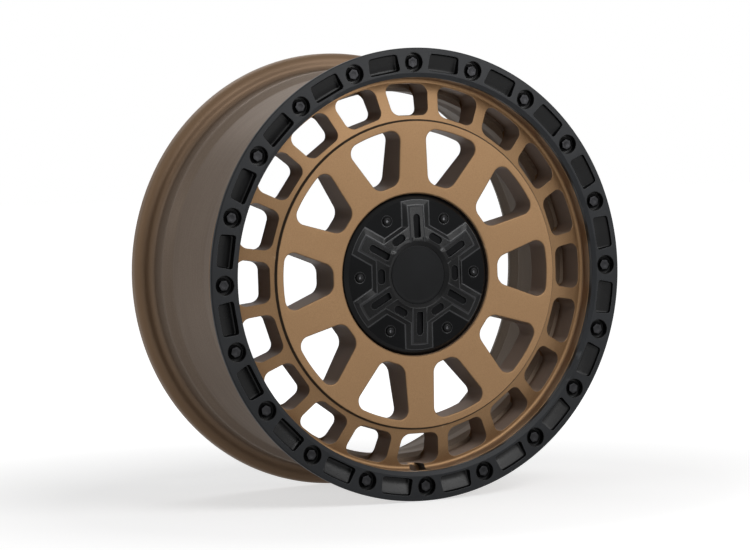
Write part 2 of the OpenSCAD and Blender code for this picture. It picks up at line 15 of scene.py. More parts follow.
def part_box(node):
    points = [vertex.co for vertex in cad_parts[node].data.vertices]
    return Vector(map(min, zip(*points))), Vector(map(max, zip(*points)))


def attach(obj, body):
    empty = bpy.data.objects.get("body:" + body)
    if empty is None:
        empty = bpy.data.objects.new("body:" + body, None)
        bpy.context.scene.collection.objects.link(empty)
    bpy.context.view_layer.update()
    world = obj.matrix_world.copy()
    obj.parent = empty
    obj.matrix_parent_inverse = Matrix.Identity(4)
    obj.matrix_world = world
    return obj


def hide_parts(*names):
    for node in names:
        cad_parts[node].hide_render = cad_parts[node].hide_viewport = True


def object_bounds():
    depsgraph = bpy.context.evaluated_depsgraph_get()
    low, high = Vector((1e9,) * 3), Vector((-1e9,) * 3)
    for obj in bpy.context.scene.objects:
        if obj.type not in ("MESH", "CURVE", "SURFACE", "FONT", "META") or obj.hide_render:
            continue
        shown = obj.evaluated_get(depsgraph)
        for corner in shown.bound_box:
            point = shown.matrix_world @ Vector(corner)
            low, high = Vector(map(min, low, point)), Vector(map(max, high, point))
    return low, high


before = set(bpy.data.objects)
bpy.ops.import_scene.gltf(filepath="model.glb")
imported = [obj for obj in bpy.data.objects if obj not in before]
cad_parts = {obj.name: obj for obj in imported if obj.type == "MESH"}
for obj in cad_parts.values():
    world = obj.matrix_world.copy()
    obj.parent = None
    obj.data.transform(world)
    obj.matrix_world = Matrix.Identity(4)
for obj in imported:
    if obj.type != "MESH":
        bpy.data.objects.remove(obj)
cad_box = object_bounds()

MM = 0.001
TAU = 2 * pi
# Points around a whole turn of the wheel, and around a bolt or a screw hole
AROUND, AROUND_HOLE = 360, 48
# Radius of a ring that closes to a point when the mesh is welded
POINT_R = 0.0004
# Faces that meet at less than this angle are shaded as one surface, in degrees
SMOOTH = 38


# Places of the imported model

def span(node):
    """Where a CAD node begins and ends along the axle, in millimetres."""
    return [round(corner.y / MM, 2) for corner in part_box(node)]


def reach(node):
    """Outer radius of a turned CAD node, in millimetres."""
    return round(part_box(node)[1].x / MM, 2)


def around(count, first=90.0):
    """Angles of spots spread evenly around the wheel, in degrees, from the top or from another angle."""
    return [first + 360 / count * k for k in range(count)]


RING_Y, FLANGE_Y = span("bead_ring")
DISC_Y, REGISTER_Y = span("wheel_face")
WELD_Y, RIM_END_Y = span("rim_barrel")
BOLT_TOP_Y, BOLT_TIP_Y = span("ring_bolts")
BOLT_SEAT_Y, WASHER_SEAT_Y = span("ring_washers")
CAP_TOP_Y, CAP_SEAT_Y = span("center_cap")
BADGE_Y, BADGE_SEAT_Y = span("cap_badge")
SCREW_TOP_Y, SCREW_TIP_Y = span("cap_screws")
LUG_FLOOR_Y, PAD_Y = span("lug_seats")
RING_R, FLANGE_R, RIM_R = reach("bead_ring"), reach("wheel_face"), reach("rim_barrel")
CAP_R, BADGE_R = reach("center_cap"), reach("cap_badge")

# Rim: bead seats, humps, drop well, rear flange and weld
BEAD_R, BEAD_W, BEAD_TAPER = 218.3, 19.8, radians(5)
FLANGE_T, REAR_FLANGE_T = 14.7, 18.0
HUMP_H, HUMP_W = 1.0, 7.0
WELL_DEPTH, WELL_W, BARREL_WALL = 18.8, 32.0, 6.0
REAR_CURVE_R, REAR_TIP_R, REAR_INNER_W = 9.5, 2.83, 3.0
WELD_W, WELD_DEPTH, WELD_CROWN, WELD_BEADS = 5.0, 3.0, 0.8, 300
SEAT_GAP = 0.03
FRONT_BEAD_Y = FLANGE_Y + FLANGE_T
REAR_BEAD_Y = RIM_END_Y - REAR_FLANGE_T
FRONT_HUMP_Y = FRONT_BEAD_Y + BEAD_W
REAR_HUMP_Y = REAR_BEAD_Y - BEAD_W
REAR_SLOPE_Y = REAR_HUMP_Y - HUMP_W
SEAT_END_R = round(BEAD_R - BEAD_W * tan(BEAD_TAPER), 2)
KNEE_R = SEAT_END_R - WELL_DEPTH / 3
KNEE_Y = REAR_SLOPE_Y - WELL_DEPTH / 2
WELL_R = BEAD_R - WELL_DEPTH
WELL_BORE_R = WELL_R - BARREL_WALL
GROOVE_R = WELL_R - WELD_DEPTH

# Face: dished disc, its step, sloped ring, lip and spigot, back, and the register inside the barrel
DISC_R, DISC_DISH, DISC_INNER_R = 160.0, 2.8, 87.6
STEP_W, STEP_H = 1.8, 3.3
LIP_WALL, LIP_DEPTH = 13.1, 23.8
SPIGOT_W, SPIGOT_H, SPIGOT_GAP = 3.7, 2.6, 0.3
FACE_T_HUB, FACE_T_MID, FACE_T_OUT, FACE_OUT_R = 44.0, 33.0, 32.0, 195.0
REGISTER_LEN, REGISTER_IN_R, SHOULDER_R, INNER_PAINT_R = 8.0, 192.2, 196.8, 189.0
STEP_R, STEP_Y = DISC_R + STEP_W, DISC_Y + STEP_H
LIP_R, LIP_Y = BEAD_R - LIP_WALL, RING_Y + LIP_DEPTH
SPIGOT_R, SPIGOT_Y = LIP_R + SPIGOT_W, FLANGE_Y - SPIGOT_H
DISC_INNER_Y = DISC_Y + DISC_DISH
HUB_BACK_Y = DISC_INNER_Y + FACE_T_HUB
MID_BACK_Y = DISC_Y + FACE_T_MID
OUT_BACK_Y = LIP_Y + FACE_T_OUT

# Windows: ten large ones between the main spokes and twenty small ones between the outer spokes
SPOKES, SMALL_SPOKES = 10, 20
LARGE_ANGLES, SMALL_ANGLES = around(SPOKES, 90 + 180 / SPOKES), around(SMALL_SPOKES)
WINDOW_START, WINDOW_END, WINDOW_IN_R, WINDOW_OUT_R = 95.6, DISC_R - 7.5, 12.2, 10.3
SPOKE_W_IN, SPOKE_W_OUT, SMALL_SPOKE_W = 34.2, 29.4, 12.2
SMALL_START, SMALL_END, SMALL_CORNER_R = DISC_R + 6.2, LIP_R - 5.7, 9.2
SMALL_BACK_END, SHELF_Y, SHELF_WALL = 195.6, -24.2, 0.8
WINDOW_EDGE, WINDOW_BACK_EDGE, SMALL_EDGE, SMALL_BACK_EDGE = 1.3, 1.2, 0.6, 0.4

# Hub: bore, mounting pad, lug holes and the recess of the cap
HUB_BORE_R, HUB_PAD_R, HUB_RELIEF_R, HUB_FLANK_R = 53.05, 82.2, 59.0, 92.6
LUG_R, LUG_POCKET_R, LUG_HOLE_R, LUG_COLLAR_R, LUG_COLLAR_T = 69.85, 14.5, 10.18, 12.18, 3.0
LUGS = 6
LUG_ANGLES = around(LUGS)
RECESS_R, RECESS_Y, RECESS_EDGE_R = CAP_R + 0.5, DISC_Y + 4.0, 86.0

# Valve hole at the bottom: it leans, and has a counterbore in front and a recess behind
VALVE_Y, VALVE_Z, VALVE_LEAN = LIP_Y + 12.0, -(LIP_R + 1.8), radians(-12)
VALVE_SPOT_R, VALVE_HOLE_R, VALVE_BACK_R, VALVE_SEAT_T, VALVE_BEVEL = 9.0, 5.65, 7.4, 4.0, 0.45
VALVE_CUT_FRONT, VALVE_CUT_BACK = -23.8, 30.8

# Bead ring and its bolts
BOLTS, BOLT_R = 20, 221.0
BOLT_ANGLES, POCKET_ANGLES = around(BOLTS), around(BOLTS, 90 + 180 / BOLTS)
BOLT_SHANK_R, BOLT_PITCH, BOLT_HEX, BOLT_HOLE_R = 3.0, 1.0, 10.0, 3.3
BOLT_BORE_R, BOLT_BORE_MOUTH_R, BOLT_BORE_LEN, BOLT_BORE_BEVEL = 4.53, 4.9, 12.0, 0.4
WASHER_R, COUNTERBORE_R = 7.5, 10.0
RING_BORE_R, RING_BEVEL_R, RING_BEVEL_H, RING_SIDE_H = LIP_R + SPIGOT_GAP, 210.0, 2.4, 3.55
RING_BACK_R = FLANGE_R + (RING_R - FLANGE_R) / 3
POCKET_START, POCKET_END, POCKET_W_IN, POCKET_W_OUT = 211.9, RING_R - 5.9, 35.4, 33.0
POCKET_CORNER_R, POCKET_DEPTH, POCKET_BEND_R, POCKET_BEND, POCKET_RISE = 3.0, 8.4, 217.1, 4.0, 0.3421
POCKET_EDGE, POCKET_FILLET = 0.5, 1.8

# Centre cap, its screws and the badge
CAP_FLOOR_Y, CAP_RIM_Y, CAP_UNDER_Y = DISC_INNER_Y - 1.3, DISC_INNER_Y + 3.5, DISC_INNER_Y + 2.7
RIB_H = CAP_FLOOR_Y - CAP_TOP_Y
RIB_HALF, RIB_FOOT_HALF, RIB_END_R, RIB_END_FOOT_R = 9.4, 15.75, 73.0, 78.65
WEB_R, WEB_FOOT_R = 48.0, 52.0
RIB_FALL, CREST_H, CREST_HALF, CREST_RUN = 2.8, 1.2, 7.4, 2.5
RIB_EDGE_W, RIB_EDGE_H, RIB_FOOT_FILLET, RIB_FOOT_SPREAD = 0.6, 0.5, 0.6, 1.2
SLOT_DEPTH, SLOT_EDGE, SLOT_FILLET = 4.0, 0.45, 0.8
RIB_SLOT_IN, RIB_SLOT_OUT, SLOT_HALF, SLOT_CORNER_R = 40.4, 59.6, 3.7, 1.7
WEB_SLOT_R, WEB_SLOT_HALF, WEB_SLOT_REACH = 42.6, 4.0, 4.0
BADGE_WELL_R, BADGE_MOUTH_R = BADGE_R + 0.2, 35.3
SCREW_R, SCREW_ANGLES = 66.0, around(LUGS, 90 + 180 / LUGS)
SCREW_SHANK_R, SCREW_PITCH, SCREW_HEX, SCREW_SOCKET = 2.5, 0.8, 3.0, 1.6
SCREW_HEAD_R, SCREW_FLAT_R, SCREW_RIM_R = 4.75, 2.5, 2.05
SCREW_HOLE_R, SCREW_HEAD_HOLE_R, SCREW_BOSS_R = 2.75, 5.55, 7.0
SCREW_BORE_R, SCREW_BORE_MOUTH_R, SCREW_BORE_LEN, SCREW_BORE_BEVEL = 3.58, 3.8, 18.0, 0.2
SCREW_SEAT_Y = CAP_FLOOR_Y + 1.0


# Plans and profiles

# A quarter turn in steps, for rounded edges
QUARTER = np.linspace(0, pi / 2, 5)
# Largest share of a side that a fillet takes, beside another fillet and beside a sharp corner
FILLET_SHARE, LONE_SHARE = 0.45, 0.9
# Longest step along a fillet of a profile, and the half angle past which a corner counts as straight
FILLET_STEP, STRAIGHT = radians(16), radians(89)


def circle(radius, count=AROUND, at=(0.0, 0.0)):
    a = np.arange(count) * TAU / count
    return np.column_stack((at[0] + radius * np.cos(a), at[1] + radius * np.sin(a)))


def arc(radius, first, last, steps, at=(0.0, 0.0)):
    """Plan of an arc between two angles in radians, with both ends."""
    t = np.linspace(first, last, steps + 1)
    return np.column_stack((at[0] + radius * np.cos(t), at[1] + radius * np.sin(t)))


def straight(a, b, steps):
    """Plan of a straight stretch, with both ends."""
    return np.linspace(a, b, steps + 1)


def spun(plan, degrees):
    """A plan turned counter-clockwise about the axle, as seen from the front."""
    c, s = cos(radians(degrees)), sin(radians(degrees))
    return plan @ np.array([[c, s], [-s, c]])


def lift(plan, height):
    """Points in space over a plan. The height is y, a number or a function of the radius."""
    y = height(np.hypot(plan[:, 0], plan[:, 1])) if callable(height) else np.broadcast_to(height, len(plan))
    return np.column_stack((plan[:, 0], y, plan[:, 1]))


def line(a, b):
    """y as a function of the radius, along the line through two (radius, y) points."""
    slope = (b[1] - a[1]) / (b[0] - a[0])
    return lambda r: a[1] + (r - a[0]) * slope


def flat(y):
    """The same y at every radius."""
    return lambda r: np.full(np.shape(r), float(y))


def opening(start, end, angle, gap, corner_in, corner_out, grow=0.0):
    """Closed plan of a window on the +X axis, between two flanks at an angle to that axis, in radians.
    Each flank runs at a gap from the line through the axle. The plan can grow evenly."""
    start, end, gap = start - grow, end + grow, gap - grow
    corner_in, corner_out = corner_in + grow, corner_out + grow
    in_u = start + corner_in
    in_v = (in_u * sin(angle) - gap - corner_in) / cos(angle)
    out_r = end - corner_out
    out_a = angle - asin((gap + corner_out) / out_r)
    out = out_r * cos(out_a), out_r * sin(out_a)
    square = pi / 2 + angle
    near = arc(corner_in, pi, square, 10, (in_u, in_v))
    far = arc(corner_out, square, out_a, 12, out)
    half = np.vstack((
        straight((start, 0), near[0], 4)[:-1],
        near,
        straight(near[-1], far[0], 8)[1:-1],
        far,
        arc(end, out_a, 0, 5)[1:],
    ))
    return np.vstack((half, half[-2:0:-1] * (1, -1)))


def rounded(corners):
    """One run of points for each (radius, y, fillet) corner of a closed profile."""
    runs = []
    for i, (r, y, fillet) in enumerate(corners):
        p = np.array((r, y), float)
        sides, room = [], []
        for x, z, next_fillet in (corners[i - 1], corners[(i + 1) % len(corners)]):
            side = np.array((x, z)) - p
            length = np.linalg.norm(side)
            sides.append(side / length)
            room.append(length * (FILLET_SHARE if next_fillet else LONE_SHARE))
        before, after = sides
        half = acos(np.clip(before @ after, -1, 1)) / 2
        if fillet <= 0 or half > STRAIGHT:
            runs.append(p[None])
            continue
        tangent = min(fillet / tan(half), *room)
        bisector = (before + after) / np.linalg.norm(before + after)
        centre = p + bisector * tangent / cos(half)
        spoke = p + before * tangent - centre
        sweep = pi - 2 * half
        side = np.sign(before[0] * after[1] - before[1] * after[0])
        count = max(3, ceil(sweep / FILLET_STEP))
        steps = np.linspace(0, -side * np.degrees(sweep), count + 1)
        runs.append(np.array([centre + spun(spoke, step) for step in steps]))
    return runs


def crown(radius, height, first, last, steps=10):
    """Corners over a low crown between two stations."""
    shares = [k / steps for k in range(steps + 1)]
    return [(radius + height * sin(pi * s), first + (last - first) * s, 0) for s in shares]


# Meshes

# Places of the materials on a piece that has a plain finish, hollows, and edges in a paler tone that is a
# painted highlight
PLAIN, HOLLOW, EDGE = 0, 1, 2
# Places of the second paint, inside the face and the barrel and partly painted light on the face, and of the
# third, a painted shade on the face
INNER, SHADE = 1, 2
# Points closer than this are one, in metres
WELD_GAP = 2e-6
# Triangles with a smaller area than this are left out, in square millimetres
SLIVER = 2e-4
# Points tested in one go against the outline of a patch
BATCH = 1000


def mouth(plan, degrees, height, edge, way=1):
    """Rounded edge of an opening in a surface. Returns its plan on the surface and its rings."""
    plans = [spun(plan(edge * (1 - sin(t))), degrees) for t in QUARTER]
    rings = [lift(p, height) + (0, way * edge * (1 - cos(t)), 0) for p, t in zip(plans, QUARTER)]
    return plans[0], rings


class Outline:
    """The closed loops around a patch: which edges they have, and which points they hold."""

    def __init__(self, loops):
        self.points = np.vstack(loops)
        self.edges = []
        for loop in loops:
            first, n = len(self.edges), len(loop)
            self.edges += [(first + k, first + (k + 1) % n) for k in range(n)]
        self.ends = self.points[np.array(self.edges).T]

    def holds(self, points):
        """Which points lie inside the outer loop and outside the others."""
        (ax, az), (bx, bz) = (end.T for end in self.ends)
        flags = []
        for first in range(0, len(points), BATCH):
            x, z = np.hsplit(points[first:first + BATCH], 2)
            with np.errstate(divide="ignore", invalid="ignore"):
                crossing = ax + (z - az) * (bx - ax) / (bz - az)
            passed = ((az > z) != (bz > z)) & (x < crossing)
            flags.append(passed.sum(1) % 2 == 1)
        return np.concatenate(flags)

    def inner_points(self, spacing):
        """Points spread evenly over the patch, clear of its edges."""
        reach = np.hypot(*self.points.T)
        spread = [np.empty((0, 2))]
        for k, r in enumerate(np.arange(reach.min() + spacing * 0.7, reach.max(), spacing)):
            n = max(6, int(TAU * r / spacing))
            spread.append(spun(circle(r, n), 180 / n * (k % 2)))
        spread = np.vstack(spread)
        if len(spread):
            spread = spread[self.holds(spread)]
        near = [((self.points - p) ** 2).sum(1).min() > (spacing * 0.4) ** 2 for p in spread]
        return spread[np.array(near, bool)]


class Shell:
    """Points and faces of one piece, in millimetres, welded into a mesh at the end."""

    def __init__(self):
        self.points, self.faces, self.tones, self.count = [], [], [], 0
        self.tone = PLAIN

    def add(self, points, faces):
        """Adds faces in the finish that the tone stands for: the place of a material on the piece."""
        self.points.append(np.asarray(points, float))
        self.faces += (np.asarray(faces) + self.count).tolist()
        self.tones += [self.tone] * len(faces)
        self.count += len(points)

    def rings(self, rings):
        """Bands of quads between closed rings that have the same number of points."""
        n = len(rings[0])
        i = np.arange(n)
        j = (i + 1) % n
        band = np.column_stack((i, j, n + j, n + i))
        self.add(np.vstack(rings), np.vstack([band + k * n for k in range(len(rings) - 1)]))

    def turned(self, profile, count=AROUND, place=None):
        """A profile of (radius, y) points turned about the axle, or about a spot of its own."""
        unit = circle(1.0, count)
        rings = [lift(unit * r, y) for r, y in profile]
        self.rings([place(ring) for ring in rings] if place else rings)

    def patch(self, outer, holes, height, spacing=7.0):
        """Fills a plan with holes with triangles, at a height that depends on the radius."""
        outline = Outline([outer, *holes])
        plan = np.vstack((outline.points, outline.inner_points(spacing)))
        got = delaunay_2d_cdt([tuple(p) for p in plan], outline.edges, [], 0, 1e-6)
        plan = np.array([tuple(v) for v in got[0]])
        tris = np.array(got[2])
        a, b, c = (plan[tris[:, k]] for k in range(3))
        double_area = (b - a)[:, 0] * (c - a)[:, 1] - (b - a)[:, 1] * (c - a)[:, 0]
        tris = tris[np.abs(double_area) > 2 * SLIVER]
        tris = tris[outline.holds(plan[tris].mean(1))]
        self.add(lift(plan, height), tris)

    def profile(self, corners, patches=(), skip=()):
        """A closed profile turned about the axle, with patches of (edge, holes) in place of whole bands."""
        runs = rounded(corners)
        patches = dict(patches)
        for i, run in enumerate(runs):
            a, b = run[-1], runs[(i + 1) % len(runs)][0]
            if len(run) > 1:
                self.turned(run)
            if i in patches:
                self.patch(circle(max(a[0], b[0])), [circle(min(a[0], b[0])), *patches[i]], line(a, b))
            elif i not in skip:
                self.turned([a, b])
        return runs

    def window(self, plan, degrees, top, bottom, top_edge, bottom_edge, back_plan=None, shelf=None):
        """Walls of a through window with rounded edges, and a shelf where its plan is smaller at the back.
        Returns its plans on the front and on the back."""
        front, rings = mouth(plan, degrees, top, top_edge)
        if shelf:
            rings.append(lift(spun(plan(0), degrees), shelf))
        back, back_rings = mouth(back_plan or plan, degrees, bottom, bottom_edge, -1)
        self.rings(rings + back_rings[::-1])
        return front, back

    def pocket(self, plan, degrees, top, bottom, edge, fillet, spacing):
        """Rounded edge, walls and floor of a blind pocket. Returns its plan on the front."""
        front, rings = mouth(plan, degrees, top, edge)
        # The rounded edge takes the paler edge material: a painted highlight around ring pockets and cap
        # slots
        self.tone = EDGE
        self.rings(rings)
        walls = rings[-1:]
        for t in QUARTER:
            floor = spun(plan(-fillet * (1 - cos(t))), degrees)
            walls.append(lift(floor, bottom) - (0, fillet * (1 - sin(t)), 0))
        self.tone = HOLLOW
        self.rings(walls)
        self.patch(floor, [], bottom, spacing)
        self.tone = PLAIN
        return front

    def bore(self, radius, degrees, steps, count=AROUND_HOLE):
        """A turned hole at a radius and angle, from (radius, y) steps. Returns its first and last plans."""
        plans = [spun(circle(r, count, (radius, 0)), degrees) for r, _ in steps]
        self.rings([lift(p, y) for p, (_, y) in zip(plans, steps)])
        return plans[0], plans[-1]

    def mesh(self, name, smooth=SMOOTH):
        mesh = bpy.data.meshes.new(name)
        mesh.from_pydata(np.vstack(self.points) * MM, [], self.faces)
        set_tones(mesh, self.tones)
        bm = bmesh.new()
        bm.from_mesh(mesh)
        bmesh.ops.remove_doubles(bm, verts=bm.verts, dist=WELD_GAP)
        bmesh.ops.dissolve_degenerate(bm, dist=WELD_GAP / 20, edges=bm.edges)
        bmesh.ops.recalc_face_normals(bm, faces=bm.faces)
        bm.to_mesh(mesh)
        bm.free()
        shade(mesh, smooth)
        return mesh


def shade(mesh, smooth):
    mesh.polygons.foreach_set("use_smooth", [True] * len(mesh.polygons))
    mesh.set_sharp_from_angle(angle=radians(smooth))


def of_faces(mesh, what):
    """The centres or the normals of a mesh's faces, as three arrays."""
    values = np.empty(3 * len(mesh.polygons))
    mesh.polygons.foreach_get(what, values)
    return values.reshape(-1, 3).T


def set_tones(mesh, tones):
    """Gives each face of a mesh the place of its material."""
    mesh.polygons.foreach_set("material_index", np.asarray(tones, np.int32))


def put(name, data):
    """A new object in the scene."""
    obj = bpy.data.objects.new(name, data)
    bpy.context.scene.collection.objects.link(obj)
    return obj


def piece(name, mesh, body, materials, node):
    """Makes a mesh a piece that rides on a body and stands for a CAD node."""
    obj = put(name, mesh)
    tones = np.zeros(len(mesh.polygons), np.int32)
    mesh.polygons.foreach_get("material_index", tones)
    mesh.materials.clear()
    for material in materials:
        mesh.materials.append(material)
    set_tones(mesh, tones)
    normals = obj.modifiers.new("weighted_normals", "WEIGHTED_NORMAL")
    normals.keep_sharp = True
    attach(obj, body)
    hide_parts(node)


def carved(mesh, cutter):
    """The mesh with another mesh cut out of it."""
    body, tool = (put(m.name + "_work", m) for m in (mesh, cutter))
    cut = body.modifiers.new("cut", "BOOLEAN")
    cut.operation, cut.solver, cut.object = "DIFFERENCE", "EXACT", tool
    bpy.context.view_layer.update()
    result = bpy.data.meshes.new_from_object(body.evaluated_get(bpy.context.evaluated_depsgraph_get()))
    name = mesh.name
    for obj in (body, tool):
        bpy.data.objects.remove(obj)
    bpy.data.meshes.remove(cutter)
    bpy.data.meshes.remove(mesh)
    result.name = name
    shade(result, SMOOTH)
    return result


# Finishes

def add_node(tree, kind, inputs, **settings):
    """A node with its settings, and with its inputs set to values or joined to other sockets."""
    node = tree.nodes.new("ShaderNode" + kind)
    for key, value in settings.items():
        setattr(node, key, value)
    for key, value in inputs.items():
        if isinstance(value, bpy.types.NodeSocket):
            tree.links.new(value, node.inputs[key])
        else:
            node.inputs[key].default_value = value
    return node


class Finish:
    """A material made of nodes over object coordinates, in metres."""

    def __init__(self, name, **sockets):
        self.material = bpy.data.materials.new(name)
        self.material.use_nodes = True
        self.tree = self.material.node_tree
        self.shader = self.tree.nodes["Principled BSDF"]
        for socket, value in sockets.items():
            self.shader.inputs[socket.replace("_", " ")].default_value = value

    def node(self, kind, inputs, **settings):
        return add_node(self.tree, kind, inputs, **settings)

    def place(self):
        """Object coordinates, in metres."""
        return self.node("TexCoord", {}).outputs["Object"]

    def along(self, vector):
        """The part of a vector that runs along the axle."""
        return self.node("SeparateXYZ", {"Vector": vector}).outputs["Y"]

    def maths(self, operation, *values):
        """The result of a Math node on one or two values."""
        return self.node("Math", dict(enumerate(values)), operation=operation).outputs["Value"]

    def noise(self, size, detail=2.0, stretch=(1.0, 1.0, 1.0)):
        """Noise with grains of about a size in millimetres, longer where the stretch is larger."""
        scale = [1 / (size * MM * k) for k in stretch]
        at = self.node("Mapping", {"Vector": self.place(), "Scale": scale}).outputs["Vector"]
        return self.node("TexNoise", {"Vector": at, "Scale": 1.0, "Detail": detail}).outputs["Fac"]

    def level(self, value, low, high, start=0.3, end=0.7):
        """A value between two levels, as another goes from start to end."""
        ends = {"Value": value, "From Min": start, "From Max": end, "To Min": low, "To Max": high}
        return self.node("MapRange", ends).outputs["Result"]

    def edges(self, start=0.53, end=0.6):
        """0 on flat ground and 1 on raised edges."""
        return self.level(self.node("NewGeometry", {}).outputs["Pointiness"], 0.0, 1.0, start, end)

    def facing(self, start=0.25, end=0.75):
        """1 on faces square to the axle and 0 on walls along it."""
        size = self.maths("ABSOLUTE", self.along(self.node("TexCoord", {}).outputs["Normal"]))
        return self.level(size, 0.0, 1.0, start, end)

    def radius(self):
        """Distance from the axle, in metres."""
        flattened = {0: self.place(), 1: (1.0, 0.0, 1.0)}
        plan = self.node("VectorMath", flattened, operation="MULTIPLY").outputs["Vector"]
        return self.length(plan)

    def length(self, vector):
        return self.node("VectorMath", {0: vector}, operation="LENGTH").outputs["Value"]

    def join(self, socket, value):
        self.tree.links.new(value, self.shader.inputs[socket])

    def mix(self, factor, a, b):
        """Two colours, each a socket or three numbers, mixed by a factor."""
        first, second = (c if isinstance(c, bpy.types.NodeSocket) else (*c, 1.0) for c in (a, b))
        return self.node("Mix", {0: factor, 6: first, 7: second}, data_type="RGBA").outputs[2]

    def paint(self, colour, roughness, height, depth):
        """Joins a colour, a roughness and a bump of a depth in millimetres to the shader."""
        bump = self.node("Bump", {"Height": height, "Strength": 1.0, "Distance": depth * MM})
        self.join("Base Color", colour)
        self.join("Roughness", roughness)
        self.join("Normal", bump.outputs["Normal"])
        return self.material


# Sizes in millimetres of paint grain and of lathe lines, how much longer those lines are, and orange peel
GRAIN, LATHE_LINE, LATHE_STRETCH, PEEL = 1.1, 1.6, 60.0, 1.4
# Where the outer lip begins, past which its walls keep the full coat without painted shade, and where the
# rear flange begins, as ranges in metres
LIP_WITHOUT_WALL_SHADE = SMALL_END * MM, (SMALL_END + 1.5) * MM
REAR_COAT = (REAR_BEAD_Y - 7.9) * MM, (REAR_BEAD_Y + 2.1) * MM


def bronze_paint(name, dark, light, wear_and_highlight, wall_coat_and_shade):
    """Matt metallic paint: fine grain, slow change of tone, paler edges from wear and a painted highlight,
    and painted shade on walls along the axle, a greyer thinner coat without metal.
    """
    f = Finish(name, Specular_IOR_Level=0.02)
    grain = f.noise(GRAIN, 3.0)
    colour = f.mix(f.level(grain, 0.0, 1.0), dark, light)
    colour = f.mix(f.level(f.noise(60.0), 0.0, 0.35), colour, dark)
    # Walls along the axle, short of the lip, take the wall colour and lose their metal: painted shade, partly
    # a thinner coat
    coat = f.maths("MAXIMUM", f.facing(), f.level(f.radius(), 0.0, 0.6, *LIP_WITHOUT_WALL_SHADE))
    colour = f.mix(coat, wall_coat_and_shade, colour)
    # Paler raised edges: partly wear, partly a painted highlight
    colour = f.mix(f.edges(), colour, wear_and_highlight)
    f.join("Metallic", f.level(coat, 0.0, 0.4, 0.0, 1.0))
    return f.paint(colour, f.level(grain, 0.36, 0.46), grain, 0.03)


def turned_paint(name, dark, light, wear_and_highlight, flange, metallic=0.3, specular=0.25):
    """The same paint over the lines that a lathe leaves, with a colour of its own on the rear flange."""
    f = Finish(name, Metallic=metallic, Specular_IOR_Level=specular)
    grain = f.noise(GRAIN, 3.0)
    lines = f.noise(LATHE_LINE, 2.0, (LATHE_STRETCH, 1.0, LATHE_STRETCH))
    colour = f.mix(f.level(grain, 0.0, 1.0), dark, light)
    colour = f.mix(f.level(lines, 0.0, 0.4), colour, dark)
    colour = f.mix(f.level(f.noise(70.0), 0.0, 0.3), colour, dark)
    colour = f.mix(f.level(f.along(f.place()), 0.0, 1.0, *REAR_COAT), colour, flange)
    # Paler raised edges: partly wear, partly a painted highlight
    colour = f.mix(f.edges(), colour, wear_and_highlight)
    return f.paint(colour, f.level(lines, 0.42, 0.54), f.maths("ADD", grain, lines), 0.02)


def black_coat(name, dark, light, wear_and_highlight, rough, specular, peel_depth=0.03):
    """Satin black coat with a fine orange peel."""
    f = Finish(name, Specular_IOR_Level=specular)
    tone = f.noise(45.0, 3.0)
    colour = f.mix(f.level(tone, 0.0, 1.0), dark, light)
    # Paler raised edges: partly wear, partly a painted highlight
    colour = f.mix(f.edges(0.54, 0.64), colour, wear_and_highlight)
    return f.paint(colour, f.level(tone, rough - 0.05, rough + 0.05), f.noise(PEEL), peel_depth)


def steel(name, dark, light, rough):
    """Machined steel with turned or rolled grain."""
    f = Finish(name, Metallic=1.0)
    lines = f.noise(0.8, 3.0, (1.0, 0.25, 1.0))
    colour = f.mix(f.level(f.noise(6.0), 0.0, 1.0), dark, light)
    return f.paint(colour, f.level(lines, rough - 0.08, rough + 0.08), lines, 0.01)


def barrel_paint(name):
    """The bronze of the barrel and of its weld."""
    colours = (0.165, 0.122, 0.09), (0.22, 0.164, 0.122), (0.31, 0.22, 0.142), (0.21, 0.131, 0.074)
    return turned_paint(name, *colours)


# Colours of the bronze: dark, light, paler edges of wear and painted highlight, and the walls' painted shade
# in a thinner coat
bronze = bronze_paint(
    "bronze", (0.25, 0.15, 0.077), (0.298, 0.182, 0.095), (0.38, 0.25, 0.145), (0.24, 0.168, 0.124))
barrel_bronze = barrel_paint("barrel_bronze")
weld_bronze = barrel_paint("weld_bronze")
# Greyer paint of the register inside the barrel, paler than the barrel's own paint: painted light in that
# deep shade
inner_bronze_with_painted_light = turned_paint(
    "inner_bronze_with_painted_light", (0.26, 0.2, 0.15), (0.32, 0.245, 0.185), (0.36, 0.27, 0.2),
    (0.21, 0.131, 0.074), metallic=0.05, specular=0.04)
inside_bronze = turned_paint(
    "inside_bronze", (0.2, 0.152, 0.112), (0.25, 0.19, 0.14), (0.28, 0.21, 0.16),
    (0.15, 0.115, 0.085), metallic=0.0, specular=0.02)
shade_bronze = turned_paint(
    "shade_bronze", (0.04, 0.029, 0.02), (0.055, 0.04, 0.028), (0.09, 0.06, 0.04), (0.055, 0.04, 0.028))
ring_black = black_coat(
    "ring_black", (0.014, 0.0152, 0.017), (0.0198, 0.0213, 0.0238), (0.05, 0.052, 0.055),
    rough=0.4, specular=0.16)
# Paler black on the rounded edges of the ring's pockets: a painted highlight
ring_edge_highlight_black = black_coat(
    "ring_edge_highlight_black", (0.03, 0.031, 0.033), (0.042, 0.043, 0.046), (0.07, 0.072, 0.075),
    rough=0.4, specular=0.16)
pocket_black = black_coat(
    "pocket_black", (0.0025, 0.0026, 0.0028), (0.004, 0.0041, 0.0044), (0.02, 0.02, 0.021),
    rough=0.27, specular=0.17, peel_depth=0.006)
cap_black = black_coat(
    "cap_black", (0.002, 0.0021, 0.0024), (0.003, 0.0032, 0.0036), (0.03, 0.031, 0.033),
    rough=0.24, specular=0.145, peel_depth=0.012)
cap_floor_black = black_coat(
    "cap_floor_black", (0.003, 0.0032, 0.0036), (0.0045, 0.0048, 0.0054), (0.02, 0.02, 0.022),
    rough=0.36, specular=0.05)
